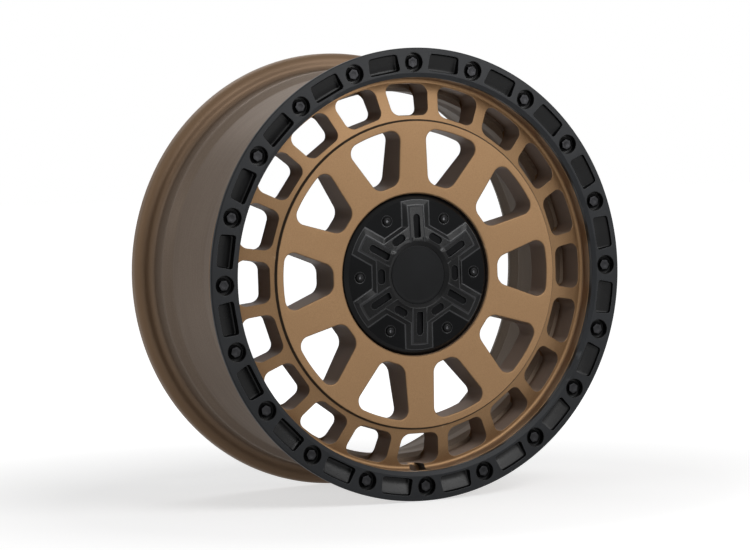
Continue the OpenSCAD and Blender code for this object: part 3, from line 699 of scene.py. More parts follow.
# Paler, glossier black on the cap's edges, rib feet and screw mouths: painted highlight lines
cap_edge_highlight_black = black_coat(
    "cap_edge_highlight_black", (0.015, 0.0157, 0.0165), (0.027, 0.028, 0.0305), (0.06, 0.06, 0.064),
    rough=0.28, specular=0.28)
badge_black = black_coat(
    "badge_black", (0.0035, 0.0037, 0.0042), (0.0052, 0.0056, 0.0063), (0.018, 0.019, 0.021),
    rough=0.38, specular=0.1)
washer_black = black_coat(
    "washer_black", (0.002, 0.002, 0.0022), (0.003, 0.003, 0.0033), (0.01, 0.01, 0.011),
    rough=0.4, specular=0.03)
screw_black = black_coat(
    "screw_black", (0.004, 0.004, 0.0044), (0.006, 0.006, 0.0066), (0.03, 0.03, 0.032),
    rough=0.34, specular=0.12)
bolt_black = steel("bolt_black", dark=(0.018, 0.018, 0.019), light=(0.027, 0.027, 0.029), rough=0.42)
socket_steel = steel("socket_steel", dark=(0.06, 0.06, 0.063), light=(0.1, 0.1, 0.105), rough=0.3)
plain_steel = steel("plain_steel", dark=(0.42, 0.42, 0.43), light=(0.56, 0.56, 0.57), rough=0.36)


# Wheel face

disc = line((DISC_INNER_R, DISC_INNER_Y), (DISC_R, DISC_Y))
cone = line((STEP_R, STEP_Y), (LIP_R, LIP_Y))
back_in = line((HUB_FLANK_R, HUB_BACK_Y), (DISC_R, MID_BACK_Y))
back_out = line((DISC_R, MID_BACK_Y), (FACE_OUT_R, OUT_BACK_Y))


def large_window(grow):
    """Plan of a window that leaves a main spoke on each side, narrower towards the outside."""
    taper = atan((SPOKE_W_IN - SPOKE_W_OUT) / 2 / (WINDOW_END - WINDOW_START))
    gap = (SPOKE_W_IN / 2 + WINDOW_START * tan(taper)) * cos(taper)
    angle = pi / SPOKES + taper
    return opening(WINDOW_START, WINDOW_END, angle, gap, WINDOW_IN_R, WINDOW_OUT_R, grow)


def small_window(grow, end=SMALL_END):
    """Plan of a window between two straight outer spokes."""
    angle = pi / SMALL_SPOKES
    return opening(SMALL_START, end, angle, SMALL_SPOKE_W / 2, SMALL_CORNER_R, SMALL_CORNER_R, grow)


def small_window_back(grow):
    """The same window at the back, where it is shorter."""
    return small_window(grow, SMALL_BACK_END)


def small_window_shelf(r):
    """Height of the shelf at the back of a small window."""
    return np.minimum(back_out(r) - SHELF_WALL, SHELF_Y)


def insert_bores(shell, radius, angles, seat, mouth_r, hole, bevel, length):
    """Blind holes for threaded inserts, with bevelled mouths. Returns their plans on the front."""
    end, mouths = seat + length, []
    for a in angles:
        front, floor = shell.bore(radius, a, [(mouth_r, seat), (hole, seat + bevel), (hole, end)], count=32)
        shell.patch(floor, [], end, spacing=3.0)
        mouths.append(front)
    return mouths


def lug_bores(shell):
    """Stepped holes for the lug seats. Returns their plans on the front and on the back."""
    step_y = LUG_FLOOR_Y + LUG_COLLAR_T
    steps = [
        (LUG_COLLAR_R + 0.22, LUG_FLOOR_Y), (LUG_COLLAR_R, LUG_FLOOR_Y + 0.2), (LUG_COLLAR_R, step_y),
        (LUG_HOLE_R, step_y), (LUG_HOLE_R, PAD_Y - 0.6), (LUG_HOLE_R + 0.62, PAD_Y),
    ]
    return zip(*[shell.bore(LUG_R, a, steps) for a in LUG_ANGLES])


def hub_outline():
    """Plan shared by the hub's open middle and the six socket pockets around it."""
    lobe = acos((LUG_R ** 2 + HUB_RELIEF_R ** 2 - LUG_POCKET_R ** 2) / (2 * LUG_R * HUB_RELIEF_R))
    turn = atan2(HUB_RELIEF_R * sin(lobe), HUB_RELIEF_R * cos(lobe) - LUG_R)
    pocket = arc(LUG_POCKET_R, -turn, turn, 40, (LUG_R, 0))
    wall = arc(HUB_RELIEF_R, lobe, TAU / LUGS - lobe, 29)[1:-1]
    return np.vstack([spun(np.vstack((pocket, wall)), a) for a in LUG_ANGLES])


def valve_place(ring):
    """Moves rings drawn about their own axis to the valve hole."""
    x, along, across = ring.T
    c, s = cos(VALVE_LEAN), sin(VALVE_LEAN)
    return np.column_stack((x, VALVE_Y + c * along - s * across, VALVE_Z + s * along + c * across))


def valve_cutter():
    """What is cut away for the valve: counterbore, hole with rounded edges, and recess at the back."""
    tool, hole, bevel = Shell(), VALVE_HOLE_R, VALVE_BEVEL
    tool.turned([
        (POINT_R, VALVE_CUT_FRONT), (VALVE_SPOT_R, VALVE_CUT_FRONT), (VALVE_SPOT_R, -0.5),
        (VALVE_SPOT_R - 0.5, 0), (hole + bevel, 0), (hole, bevel), (hole, VALVE_SEAT_T - 0.5),
        (hole + bevel, VALVE_SEAT_T), (VALVE_BACK_R, VALVE_SEAT_T), (VALVE_BACK_R, VALVE_CUT_BACK),
        (POINT_R, VALVE_CUT_BACK),
    ], count=64, place=valve_place)
    return tool.mesh("valve_cutter")


def face_tones(mesh):
    """Painted shade in the valve's counterbore and on the disc's step, and the inner paint inside the barrel,
    which is partly painted light.
    """
    x, y, z = of_faces(mesh, "center") / MM
    r = np.hypot(x, z)
    c, s = cos(VALVE_LEAN), sin(VALVE_LEAN)
    along = (y - VALVE_Y) * c + (z - VALVE_Z) * s
    across = np.hypot(x, (z - VALVE_Z) * c - (y - VALVE_Y) * s)
    counterbore = (across < VALVE_SPOT_R + 0.2) & (across > VALVE_SPOT_R - 0.4) & (along < -0.3)
    step = (r > DISC_R + 0.5) & (r < STEP_R + 0.2) & (y > DISC_Y + 0.7) & (y < STEP_Y + 0.2)
    inside = (y > SHELF_Y - 0.4) & (r > INNER_PAINT_R)
    set_tones(mesh, np.where(counterbore | step, SHADE, inside * INNER))


def wheel_face():
    shell = Shell()
    large = [shell.window(large_window, a, disc, back_in, WINDOW_EDGE, WINDOW_BACK_EDGE)
             for a in LARGE_ANGLES]
    small = [shell.window(small_window, a, cone, back_out, SMALL_EDGE, SMALL_BACK_EDGE,
                          small_window_back, small_window_shelf) for a in SMALL_ANGLES]
    bolts = insert_bores(shell, BOLT_R, BOLT_ANGLES, FLANGE_Y,
                         BOLT_BORE_MOUTH_R, BOLT_BORE_R, BOLT_BORE_BEVEL, BOLT_BORE_LEN)
    screws = insert_bores(shell, SCREW_R, SCREW_ANGLES, CAP_SEAT_Y,
                          SCREW_BORE_MOUTH_R, SCREW_BORE_R, SCREW_BORE_BEVEL, SCREW_BORE_LEN)
    lug_fronts, lug_backs = lug_bores(shell)
    hub = hub_outline()
    shell.rings([lift(hub, CAP_SEAT_Y), lift(hub, LUG_FLOOR_Y)])
    corners = [
        (RECESS_R, CAP_SEAT_Y, 0), (RECESS_R, RECESS_Y, 0.3), (RECESS_EDGE_R, disc(RECESS_EDGE_R), 0.6),
        (DISC_R, DISC_Y, 0.8), (STEP_R, STEP_Y, 1.2), (LIP_R, LIP_Y, 3.7),
        (LIP_R, SPIGOT_Y, 0.5), (SPIGOT_R, SPIGOT_Y, 0.4), (SPIGOT_R, FLANGE_Y, 0.3),
        (FLANGE_R, FLANGE_Y, 0.8), (FLANGE_R, FRONT_BEAD_Y, 6), (BEAD_R, FRONT_BEAD_Y, 6.5),
        *crown(SEAT_END_R, HUMP_H, FRONT_HUMP_Y, FRONT_HUMP_Y + HUMP_W),
        (WELL_R, WELD_Y - WELD_W, 4), (WELL_R, WELD_Y - WELD_W / 2, 0), (GROOVE_R, WELD_Y, 0),
        (WELL_BORE_R - SEAT_GAP, WELD_Y, 0), (WELL_BORE_R - SEAT_GAP, REGISTER_Y, 0.3),
        (REGISTER_IN_R, REGISTER_Y, 0.3), (REGISTER_IN_R, WELD_Y - REGISTER_LEN, 2),
        (SHOULDER_R, back_out(SHOULDER_R), 0.6), (DISC_R, MID_BACK_Y, 5), (HUB_FLANK_R, HUB_BACK_Y, 2),
        (HUB_PAD_R, PAD_Y, 1.2), (HUB_BORE_R, PAD_Y, 1.0), (HUB_BORE_R, LUG_FLOOR_Y, 1.0),
        (HUB_RELIEF_R, LUG_FLOOR_Y, 0), (HUB_RELIEF_R, CAP_SEAT_Y, 0),
    ]
    disc_edge, cone_edge, flange_edge = 2, 4, 8
    back_out_edge, back_in_edge, _, pad_edge, _, floor_edge, relief_edge, recess_edge = range(-8, 0)
    last = len(corners)
    runs = shell.profile(corners, [
        (disc_edge, [front for front, _ in large]),
        (cone_edge, [front for front, _ in small]),
        (flange_edge, bolts),
        (last + back_out_edge, [back for _, back in small]),
        (last + back_in_edge, [back for _, back in large]),
        (last + pad_edge, lug_backs),
    ], skip=(last + floor_edge, last + relief_edge, last + recess_edge))
    floor_r = runs[floor_edge][-1][0]
    shell.patch(circle(RECESS_R), [hub, *screws], CAP_SEAT_Y, spacing=4.0)
    shell.patch(hub, [circle(floor_r), *lug_fronts], LUG_FLOOR_Y, spacing=4.0)
    mesh = carved(shell.mesh("wheel_face_metal"), valve_cutter())
    face_tones(mesh)
    return mesh


# Barrel and weld

def rim_barrel():
    shell = Shell()
    tip_y, bend_y = RIM_END_Y - REAR_TIP_R, REAR_BEAD_Y + REAR_CURVE_R
    tip = arc(REAR_TIP_R, pi / 2, 0, 6, (RIM_R - REAR_TIP_R, tip_y))
    bend = arc(REAR_CURVE_R, 0, -pi / 2, 12, (RIM_R - REAR_CURVE_R, bend_y))
    flange = [(r, y, 0) for r, y in (*tip, *bend)]
    shell.profile([
        (WELL_BORE_R, WELD_Y, 0), (WELL_BORE_R, WELD_Y + WELL_W, 12), (KNEE_R - BARREL_WALL, KNEE_Y, 10),
        (SEAT_END_R - BARREL_WALL, REAR_SLOPE_Y, 8), (BEAD_R - BARREL_WALL, REAR_BEAD_Y, 5),
        (BEAD_R, tip_y, 2), (BEAD_R + REAR_INNER_W, RIM_END_Y, 1), *flange, (BEAD_R, REAR_BEAD_Y, 6.5),
        *crown(SEAT_END_R, HUMP_H, REAR_HUMP_Y, REAR_SLOPE_Y), (KNEE_R, KNEE_Y, 10),
        (WELL_R, WELD_Y + WELL_W, 12), (WELL_R, WELD_Y + WELD_W / 2, 0), (GROOVE_R, WELD_Y, 0),
    ])
    mesh = shell.mesh("rim_barrel_metal")
    x, _, z = of_faces(mesh, "center")
    out_x, _, out_z = of_faces(mesh, "normal")
    inward = (x * out_x + z * out_z) / np.hypot(x, z) < -0.3
    set_tones(mesh, inward * INNER)
    return mesh


def barrel_weld():
    """A run of overlapping beads around the drop well."""
    shell, count, half = Shell(), WELD_BEADS * 6, WELD_W / 2 - SEAT_GAP
    unit = circle(1.0, count)
    turns = np.arange(count) / count
    root = lift(unit * (GROOVE_R + 2 * SEAT_GAP), WELD_Y)
    rings = [root]
    for s in np.linspace(-1, 1, 13):
        wave = 0.5 + 0.5 * np.cos(TAU * (turns * WELD_BEADS + 0.9 * s ** 2))
        r = WELL_R + WELD_CROWN * cos(pi / 2 * s) * (0.62 + 0.38 * wave)
        rings.append(lift(unit * r[:, None], WELD_Y + half * s + 0.18 * (wave - 0.5) * s))
    shell.rings([*rings, root])
    return shell.mesh("barrel_weld_bead", smooth=60)


# Bead ring

def ring_pocket(grow):
    """Plan of a pocket, narrower towards the outside."""
    taper = atan((POCKET_W_OUT - POCKET_W_IN) / 2 / (POCKET_END - POCKET_START))
    gap = POCKET_START * sin(taper) - POCKET_W_IN / 2 * cos(taper)
    return opening(POCKET_START, POCKET_END, taper, gap, POCKET_CORNER_R, POCKET_CORNER_R, grow)


def pocket_floor(r):
    """Height of a pocket's floor: flat at the inside, then bent softly into a slope."""
    past = r - POCKET_BEND_R
    return RING_Y + POCKET_DEPTH - POCKET_RISE * (past + np.hypot(past, POCKET_BEND)) / 2


def bead_ring():
    shell = Shell()
    front = flat(RING_Y)
    pockets = [shell.pocket(ring_pocket, a, front, pocket_floor, POCKET_EDGE, POCKET_FILLET, spacing=2.0)
               for a in POCKET_ANGLES]
    shell.tone = HOLLOW
    wide, seat, hole, bevel = COUNTERBORE_R, WASHER_SEAT_Y, BOLT_HOLE_R, 0.3
    steps = [
        (wide + 0.5, RING_Y), (wide + 0.2, RING_Y + 0.1), (wide + 0.03, RING_Y + 0.25), (wide, RING_Y + 0.5),
        (wide, seat - 0.6), (wide - 0.2, seat - 0.17), (wide - 0.6, seat), (hole + bevel, seat),
        (hole, seat + bevel), (hole, FLANGE_Y - bevel), (hole + bevel, FLANGE_Y),
    ]
    fronts, backs = zip(*[shell.bore(BOLT_R, a, steps) for a in BOLT_ANGLES])
    shell.tone = PLAIN
    spigot_r, spigot_y = SPIGOT_R + SPIGOT_GAP, SPIGOT_Y - SPIGOT_GAP
    front_edge, back_edge = 0, 3
    shell.profile([
        (RING_BEVEL_R, RING_Y, 0.4), (RING_R, RING_Y, 3.4), (RING_R, RING_Y + RING_SIDE_H, 0.4),
        (RING_BACK_R, FLANGE_Y, 0.8), (spigot_r, FLANGE_Y, 0.3), (spigot_r, spigot_y, 0.3),
        (RING_BORE_R, spigot_y, 0.5), (RING_BORE_R, RING_Y + RING_BEVEL_H, 0.4),
    ], [(front_edge, [*pockets, *fronts]), (back_edge, backs)])
    return shell.mesh("bead_ring_metal")


# Fasteners

def spot(radius, degrees):
    """Moves rings drawn about their own axis to a radius and angle on the wheel."""
    def place(ring):
        plan = spun(ring[:, [0, 2]] + (radius, 0), degrees)
        return np.column_stack((plan[:, 0], ring[:, 1], plan[:, 1]))
    return place


def hex_plan(across_flats):
    """A hexagon as a ring of points, so that it joins to circles."""
    t = np.arange(AROUND_HOLE) * TAU / AROUND_HOLE
    r = across_flats / 2 / np.cos((t % (TAU / 6)) - TAU / 12)
    return np.column_stack((r * np.cos(t), r * np.sin(t)))


def shank(shell, place, radius, pitch, seat, tip, count=24):
    """Threaded shank, from inside a head to a bevelled tip."""
    unit, neck = circle(1.0, count), radius * 0.93
    turns = np.arange(count) / count
    rings = [lift(unit * r, y) for r, y in ((POINT_R, seat - 0.5), (neck, seat - 0.5), (neck, seat + 1))]
    for y in np.arange(seat + 1.2, tip - 0.9, pitch / 6):
        wave = np.abs(((y / pitch - turns) % 1.0) - 0.5) * 2
        rings.append(lift(unit * (radius - 0.5 * pitch * wave)[:, None], y))
    rings += [lift(unit * r, y) for r, y in ((radius - 0.9, tip - 0.1), (radius - 1.0, tip), (POINT_R, tip))]
    shell.rings([place(ring) for ring in rings])


def ring_bolts():
    shell = Shell()
    seat, top = BOLT_SEAT_Y, BOLT_TOP_Y
    unit, hexagon = circle(1.0, AROUND_HOLE), hex_plan(BOLT_HEX)
    dimple = [(POINT_R, top + 0.2), (2.4, top + 0.2), (2.9, top + 0.02), (3.1, top)]
    head = [lift(unit * r, y) for r, y in dimple]
    head += [lift(hexagon * (0.9 + 0.1 * sin(t)), top + 0.6 * (1 - cos(t))) for t in QUARTER]
    head += [lift(hexagon, seat - 0.2), lift(hexagon * 0.98, seat - 0.02)]
    head += [lift(unit * r, seat) for r in (4.4, POINT_R)]
    for a in BOLT_ANGLES:
        place = spot(BOLT_R, a)
        shell.rings([place(ring) for ring in head])
        shank(shell, place, BOLT_SHANK_R, BOLT_PITCH, seat, BOLT_TIP_Y)
    return shell.mesh("ring_bolt_set", smooth=30)


def ring_washers():
    shell = Shell()
    hole, edge, top, seat = BOLT_HOLE_R, WASHER_R, BOLT_SEAT_Y, WASHER_SEAT_Y
    for a in BOLT_ANGLES:
        shell.turned([
            (hole, seat), (hole, top + 0.2), (hole + 0.2, top), (edge - 0.4, top), (edge - 0.15, top + 0.1),
            (edge, top + 0.35), (edge, seat - 0.1), (edge - 0.1, seat), (hole, seat),
        ], count=AROUND_HOLE, place=spot(BOLT_R, a))
    return shell.mesh("ring_washer_set", smooth=30)


def cap_screws():
    """Button-head screws with hexagon sockets."""
    shell = Shell()
    seat, top = SCREW_SEAT_Y, SCREW_TOP_Y
    unit, hexagon = circle(1.0, AROUND_HOLE), hex_plan(SCREW_HEX)
    deep = top + SCREW_SOCKET
    socket = [
        lift(unit * POINT_R, deep + 0.15), lift(hexagon * 0.98, deep), lift(hexagon, deep - 0.15),
        lift(hexagon, top + 0.2), lift(hexagon * 1.08, top + 0.05),
    ]
    dome = SCREW_HEAD_R - SCREW_FLAT_R
    head = [socket[-1], lift(unit * SCREW_RIM_R, top)]
    head += [lift(unit * (SCREW_FLAT_R + dome * sin(t)), seat + (top - seat) * cos(t))
             for t in np.linspace(0, 1.5, 9)]
    head += [lift(unit * r, seat) for r in (SCREW_HEAD_R - 0.05, POINT_R)]
    for a in SCREW_ANGLES:
        place = spot(SCREW_R, a)
        shell.tone = HOLLOW
        shell.rings([place(ring) for ring in socket])
        shell.tone = PLAIN
        shell.rings([place(ring) for ring in head])
        shank(shell, place, SCREW_SHANK_R, SCREW_PITCH, seat, SCREW_TIP_Y)
    return shell.mesh("cap_screw_set", smooth=34)


# Centre cap

# A sixth of the cap's plan: a rib's end, its flank, a web and the next rib's flank, with their steps
TIP_STEPS, FLANK_STEPS, WEB_STEPS = 12, 14, 10
WEB_FIRST = TIP_STEPS + FLANK_STEPS
WEB_LAST = WEB_FIRST + WEB_STEPS
PART = WEB_LAST + FLANK_STEPS
SIXTH = 60


def rib_slot(grow):
    """Plan of a slot along a rib: square with small corners at the inside, round at the outside."""
    z, corner = SLOT_HALF - SLOT_CORNER_R, SLOT_CORNER_R + grow
    return np.vstack((
        arc(corner, pi, 1.5 * pi, 10, (RIB_SLOT_IN, -z)),
        arc(SLOT_HALF + grow, -pi / 2, pi / 2, 10, (RIB_SLOT_OUT, 0)),
        arc(corner, pi / 2, pi, 10, (RIB_SLOT_IN, z)),
    ))


def web_slot(grow):
    """Plan of a slot across a web, round at both ends."""
    radius = WEB_SLOT_HALF + grow
    return np.vstack((
        arc(radius, 0, pi, 10, (WEB_SLOT_R, WEB_SLOT_REACH)),
        arc(radius, pi, TAU, 10, (WEB_SLOT_R, -WEB_SLOT_REACH)),
    ))


def star(depth, rib_grow, web_grow, end_grow):
    """Plan around the ribs and webs of the cap at a depth below their tops, in six equal parts."""
    rib_half = RIB_HALF + (RIB_FOOT_HALF - RIB_HALF) * depth / RIB_H + rib_grow
    web = WEB_R + (WEB_FOOT_R - WEB_R) * depth / RIB_H + web_grow
    end = RIB_END_R + (RIB_END_FOOT_R - RIB_END_R) * depth / RIB_H + end_grow
    turn, half = asin(rib_half / end), radians(SIXTH / 2)
    corner = (web * sin(half) - rib_half) / cos(half)
    tip = arc(end, -turn, turn, TIP_STEPS)
    wall = spun(straight((web, -corner), (web, corner), WEB_STEPS), SIXTH / 2)
    flank = straight(tip[-1], wall[0], FLANK_STEPS)[1:-1]
    next_flank = straight(wall[-1], spun(tip[0], SIXTH), FLANK_STEPS)[1:-1]
    part = np.vstack((tip, flank, wall, next_flank))
    return np.vstack([spun(part, a) for a in LUG_ANGLES])


def cap_dome(r):
    """Height of the crests: they fall evenly from the badge to the rib ends."""
    return CAP_TOP_Y + RIB_FALL * np.clip((r - BADGE_MOUTH_R) / (RIB_END_R - BADGE_MOUTH_R), 0, None)


def cap_base(r):
    """Height of the webs and of the feet of the crests: a step below the crests, away from the badge."""
    return cap_dome(r) + CREST_H * np.clip((r - BADGE_MOUTH_R) / CREST_RUN, 0, 1)


def cap_flank(plan, depth):
    """A ring of the flanks, whose depth is shared out between the feet of the crests and the floor."""
    def height(r):
        top = cap_base(np.minimum(r, RIB_END_R))
        return top + (CAP_FLOOR_Y - top) * depth / RIB_H
    return lift(plan, height)


def cap_flanks(shell):
    """Rounded edges, flanks and feet of the ribs and webs. Returns their top and bottom plans."""
    edges, feet = [], []
    for s in np.linspace(0, 1, 6):
        inward, depth = RIB_EDGE_W * (1 - s) ** 2, RIB_EDGE_H * s * s
        edges.append((star(depth, -inward, -inward, -inward), depth))
        outward, depth = RIB_FOOT_FILLET * s * s, RIB_H - RIB_FOOT_FILLET * (1 - s) ** 2
        feet.append((star(depth, RIB_FOOT_SPREAD * outward, outward, 0), depth))
    # Rounded top edges and foot fillets take the paler edge material: painted highlight lines
    for tone, flanks in ((EDGE, edges), (PLAIN, [edges[-1], feet[0]]), (EDGE, feet)):
        shell.tone = tone
        shell.rings([cap_flank(plan, depth) for plan, depth in flanks])
    shell.tone = PLAIN
    return edges[0][0], feet[-1][0]


def cap_floors(shell, plan):
    """Floors between the ribs with their screw holes, and the outside and the underside of the cap."""
    wide, hole, boss, rim = SCREW_HEAD_HOLE_R, SCREW_HOLE_R, SCREW_BOSS_R, []
    mouth_steps = [(wide + 0.6, CAP_FLOOR_Y), (wide + 0.2, CAP_FLOOR_Y + 0.1), (wide, CAP_FLOOR_Y + 0.4)]
    boss_steps = [
        mouth_steps[-1], (wide, SCREW_SEAT_Y), (hole, SCREW_SEAT_Y), (hole, CAP_SEAT_Y - 0.2),
        (hole + 0.25, CAP_SEAT_Y), (boss - 0.4, CAP_SEAT_Y), (boss, CAP_SEAT_Y - 0.4), (boss, CAP_UNDER_Y),
    ]
    # The rims of the screw mouths take the paler edge material: a painted highlight
    shell.tone = EDGE
    mouths = [shell.bore(SCREW_R, a, mouth_steps)[0] for a in SCREW_ANGLES]
    shell.tone = PLAIN
    bosses = [shell.bore(SCREW_R, a, boss_steps)[1] for a in SCREW_ANGLES]
    shell.tone = HOLLOW
    for k, screw_mouth in enumerate(mouths):
        own, end = plan[k * PART:(k + 1) * PART], plan[(k + 1) % LUGS * PART]
        first = atan2(own[TIP_STEPS][1], own[TIP_STEPS][0])
        sweep = (atan2(end[1], end[0]) - first) % TAU
        edge = arc(RIB_END_FOOT_R, first, first + sweep, 20)
        floor = np.vstack((own[TIP_STEPS:], end[None], edge[-2:0:-1]))
        shell.patch(floor, [screw_mouth], CAP_FLOOR_Y, spacing=4.0)
        rim += [own[:TIP_STEPS], edge[:-1]]
    shell.tone = PLAIN
    unit = np.vstack(rim) / RIB_END_FOOT_R
    inner_r = CAP_R - 8.0
    shell.rings([lift(unit * r, y) for r, y in (
        (RIB_END_FOOT_R, CAP_FLOOR_Y), (CAP_R - 0.8, CAP_RIM_Y - 0.68), (CAP_R - 0.3, CAP_RIM_Y - 0.2),
        (CAP_R, CAP_RIM_Y + 0.45), (CAP_R, CAP_SEAT_Y - 0.4), (CAP_R - 0.4, CAP_SEAT_Y),
        (CAP_R - 3.7, CAP_SEAT_Y), (CAP_R - 4.2, CAP_SEAT_Y - 0.3), (inner_r, CAP_UNDER_Y),
    )])
    shell.patch(unit * inner_r, bosses, CAP_UNDER_Y)


def cap_slots(shell, plan, angles, height):
    """Slots in the tops of the ribs or of the webs. Returns their plans."""
    floor = flat(CAP_TOP_Y + SLOT_DEPTH)
    return [shell.pocket(plan, a, height, floor, SLOT_EDGE, SLOT_FILLET, spacing=2.5) for a in angles]


def cap_tops(shell, outline):
    """A crest along each rib, strips down to its feet, the webs between them, and the badge's well."""
    rib_slots = cap_slots(shell, rib_slot, LUG_ANGLES, cap_dome)
    web_slots = cap_slots(shell, web_slot, SCREW_ANGLES, cap_base)
    well, half, end = BADGE_MOUTH_R, RIB_HALF - RIB_EDGE_W, RIB_END_R - RIB_EDGE_W
    crest_end = end - half + CREST_HALF
    foot_turn, crest_turn = asin(half / well), asin(CREST_HALF / well)
    foot_u, crest_u = well * cos(foot_turn), well * cos(crest_turn)
    crest_len = sqrt(crest_end ** 2 - CREST_HALF ** 2) - crest_u
    stretch = crest_len / (sqrt(end ** 2 - half ** 2) - foot_u)
    narrow = asin(CREST_HALF / crest_end) / asin(half / end)
    crest_arc = arc(well, -crest_turn, crest_turn, 8)
    web_arc = arc(well, foot_turn, radians(SIXTH) - foot_turn, 9)
    well_plan = []
    for k, a in enumerate(LUG_ANGLES):
        own = spun(outline[k * PART:(k + 1) * PART], -a)
        before = spun(own[WEB_LAST:], -SIXTH)
        foot = np.vstack((before, own[:WEB_FIRST + 1]))
        lead = straight((foot_u, half), (foot[-1][0], half), 5)[:-1]
        foot = np.vstack((lead * (1, -1), foot, lead[::-1]))
        side = np.column_stack((crest_u + (foot[:, 0] - foot_u) * stretch, np.sign(foot[:, 1]) * CREST_HALF))
        turn = np.arctan2(foot[:, 1], foot[:, 0]) * narrow
        tip = np.column_stack((np.cos(turn), np.sin(turn))) * crest_end
        crest = np.where(np.hypot(*foot.T)[:, None] > end - 1e-6, tip, side)
        i, n = np.arange(len(foot) - 1), len(foot)
        # The strips from crest to feet take the paler edge material: a painted highlight
        shell.tone = EDGE
        shell.add(np.vstack((lift(spun(foot, a), cap_base), lift(spun(crest, a), cap_dome))),
                  np.column_stack((i, i + 1, n + i + 1, n + i)))
        shell.tone = PLAIN
        shell.patch(spun(np.vstack((crest, crest_arc[-2:0:-1])), a), [rib_slots[k]], cap_dome, spacing=3.0)
        far_lead = spun(lead[::-1] * (1, -1), SIXTH)
        web = np.vstack((lead, own[WEB_FIRST:WEB_LAST + 1], far_lead, web_arc[-2:0:-1]))
        shell.patch(spun(web, a), [web_slots[k]], cap_base, spacing=2.5)
        well_plan += [spun(crest_arc, a), spun(web_arc, a)]
    unit = np.vstack(well_plan) / well
    shell.rings([lift(unit * r, y) for r, y in (
        (well, CAP_TOP_Y), (well - 0.45, CAP_TOP_Y + 0.09), (well - 0.85, CAP_TOP_Y + 0.27),
        (BADGE_WELL_R + 0.4, BADGE_Y - 0.1), (BADGE_WELL_R, BADGE_Y + 0.2), (BADGE_WELL_R, BADGE_SEAT_Y),
        (POINT_R, BADGE_SEAT_Y),
    )])


def center_cap():
    shell = Shell()
    top, foot = cap_flanks(shell)
    cap_floors(shell, foot)
    cap_tops(shell, top)
    return shell.mesh("center_cap_shell", smooth=34)


def cap_badge():
    """A bare disc with a rounded edge and a fine groove near it."""
    shell, edge, groove = Shell(), BADGE_R, BADGE_R - 2.9
    shell.turned([
        (POINT_R, BADGE_SEAT_Y), (edge, BADGE_SEAT_Y), (edge, BADGE_Y + 0.4), (edge - 0.08, BADGE_Y + 0.18),
        (edge - 0.3, BADGE_Y + 0.05), (edge - 0.6, BADGE_Y), (groove, BADGE_Y), (groove - 0.2, BADGE_Y + 0.1),
        (groove - 0.4, BADGE_Y + 0.1), (groove - 0.6, BADGE_Y), (POINT_R, BADGE_Y),
    ], count=AROUND // 2)
    return shell.mesh("cap_badge_disc", smooth=30)


# Pieces

ring_tones = [ring_black, pocket_black, ring_edge_highlight_black]
cap_tones = [cap_black, cap_floor_black, cap_edge_highlight_black]
piece("wheel_face_metal", wheel_face(), "rim", [bronze, inner_bronze_with_painted_light, shade_bronze], "wheel_face")
piece("rim_barrel_metal", rim_barrel(), "rim", [barrel_bronze, inside_bronze], "rim_barrel")
piece("bead_ring_metal", bead_ring(), "ring", ring_tones, "bead_ring")
piece("ring_bolt_set", ring_bolts(), "bolts", [bolt_black], "ring_bolts")
piece("ring_washer_set", ring_washers(), "bolts", [washer_black], "ring_washers")
piece("center_cap_shell", center_cap(), "cap", cap_tones, "center_cap")
piece("cap_badge_disc", cap_badge(), "cap", [badge_black], "cap_badge")
piece("cap_screw_set", cap_screws(), "screws", [screw_black, socket_steel], "cap_screws")
piece("barrel_weld_bead", barrel_weld(), "rim", [weld_bronze], "barrel_weld")

for node in ("ring_inserts", "cap_inserts", "lug_seats"):
    for node_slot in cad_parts[node].material_slots:
        node_slot.material = plain_steel


# Camera

# Angles of the camera, its distance and shifts in metres, and its view in pixels of the photograph
CAMERA_YAW, CAMERA_PITCH, CAMERA_ROLL = radians(-25.59), radians(2.03), radians(2.0)
CAMERA_DISTANCE, CAMERA_RIGHT, CAMERA_UP = 3.5284, 0.0473, 0.0001
FOCAL_PIXELS, PHOTO_PIXELS, SENSOR = 3391, 750, 36


def camera():
    """The camera's place in the photograph, turned about the axle by the wheel's own clocking."""
    level = cos(CAMERA_PITCH)
    back = np.array((sin(CAMERA_YAW) * level, -cos(CAMERA_YAW) * level, sin(CAMERA_PITCH)))
    right = np.array((cos(CAMERA_YAW), sin(CAMERA_YAW), 0.0))
    up = np.cross(back, right)
    at = back * CAMERA_DISTANCE - right * CAMERA_RIGHT - up * CAMERA_UP + (0, RING_Y * MM, 0)
    matrix = Matrix([[right[i], up[i], back[i], at[i]] for i in range(3)] + [[0, 0, 0, 1]])
    data = bpy.data.cameras.new("camera")
    data.sensor_fit, data.sensor_width, data.lens = "HORIZONTAL", SENSOR, SENSOR * FOCAL_PIXELS / PHOTO_PIXELS
    data.clip_end = 50
    obj = put("camera", data)
    obj.matrix_world = Matrix.Rotation(CAMERA_ROLL, 4, "Y") @ matrix
    bpy.context.scene.camera = obj


# Stage and light

# Strength of the world's light on the object, where the background itself is 1
AMBIENT = 0.12
# The floor in metres: its radius, how far it lies under the object, and where its glow grows to white
FLOOR_R, FLOOR_GAP, GLOW_START, GLOW_END = 12.0, 0.0002, 0.35, 0.95
FLOOR_GREY, GLOW_LOW = 0.62, 0.62
WHITE = 1.0, 1.0, 1.0, 1.0


def seen(tree):
    """1 for rays that show the background: those of the camera, and what gloss and glass show of it."""
    rays = add_node(tree, "LightPath", {}).outputs
    total = rays["Is Camera Ray"]
    for name in ("Is Glossy Ray", "Is Transmission Ray"):
        most = add_node(tree, "Math", {0: total, 1: rays[name]}, operation="MAXIMUM")
        total = most.outputs["Value"]
    return total


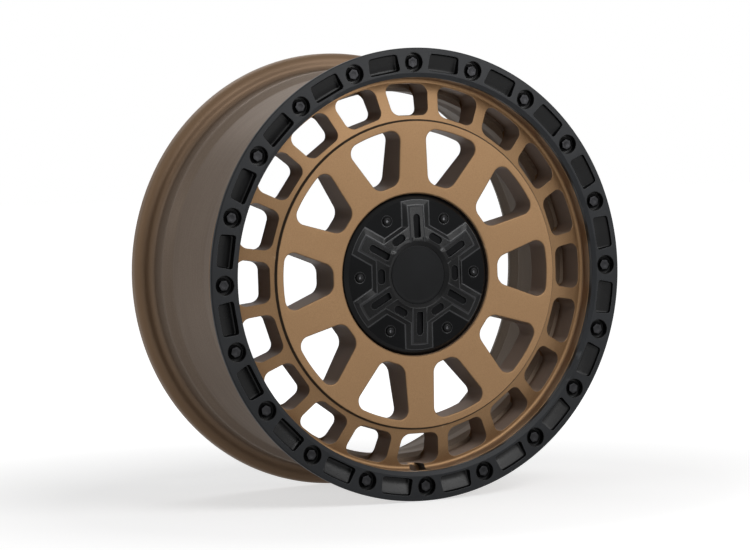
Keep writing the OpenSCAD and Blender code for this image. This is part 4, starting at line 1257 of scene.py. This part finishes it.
def studio_world():
    """White where it is seen, and a soft grey light on the object."""
    world = bpy.data.worlds.new("studio")
    bpy.context.scene.world = world
    world.use_nodes = True
    tree = world.node_tree
    background = tree.nodes["Background"]
    background.inputs["Color"].default_value = WHITE
    strength = add_node(tree, "MapRange", {"Value": seen(tree), "To Min": AMBIENT, "To Max": 1.0})
    tree.links.new(strength.outputs["Result"], background.inputs["Strength"])


def floor_white():
    """Grey under the shadow, with a glow that makes it white further out."""
    grey = FLOOR_GREY, FLOOR_GREY, FLOOR_GREY, 1.0
    f = Finish("floor_white", Base_Color=grey, Roughness=0.9, Specular_IOR_Level=0.0, Emission_Color=WHITE)
    glow = f.level(f.length(f.place()), GLOW_LOW, 1.0, GLOW_START, GLOW_END)
    f.join("Emission Strength", f.maths("MULTIPLY", glow, seen(f.tree)))
    return f.material


def studio_floor():
    """A pale floor that keeps the shadow and is white around it."""
    bm = bmesh.new()
    bmesh.ops.create_circle(bm, cap_ends=True, radius=FLOOR_R, segments=64)
    mesh = bpy.data.meshes.new("floor")
    bm.to_mesh(mesh)
    bm.free()
    mesh.materials.append(floor_white())
    floor = put("floor", mesh)
    floor.location.z = cad_box[0][2] - FLOOR_GAP


def softbox(name, turn, rise, distance, size, power):
    """A soft area lamp that faces the hub, turned to the right of the wheel's front and raised, in degrees.
    The distance and the size are in metres, the power in watts."""
    data = bpy.data.lights.new(name, "AREA")
    data.shape = "RECTANGLE"
    data.size, data.size_y = size
    data.energy = power
    turn, rise = radians(turn), radians(rise)
    away = Vector((sin(turn) * cos(rise), -cos(turn) * cos(rise), sin(rise)))
    lamp = put(name, data)
    lamp.location = away * distance
    lamp.rotation_euler = away.to_track_quat("Z", "Y").to_euler()


camera()
bpy.context.scene.view_settings.view_transform = "Standard"
studio_world()
studio_floor()
softbox("key", turn=17, rise=32, distance=1.35, size=(1.0, 0.55), power=7.6)
softbox("front", turn=25, rise=11, distance=1.25, size=(0.5, 0.16), power=2.6)
softbox("top", turn=180, rise=52, distance=1.6, size=(1.2, 0.7), power=3.8)
softbox("side", turn=262, rise=24, distance=2.7, size=(1.6, 1.2), power=6.4)
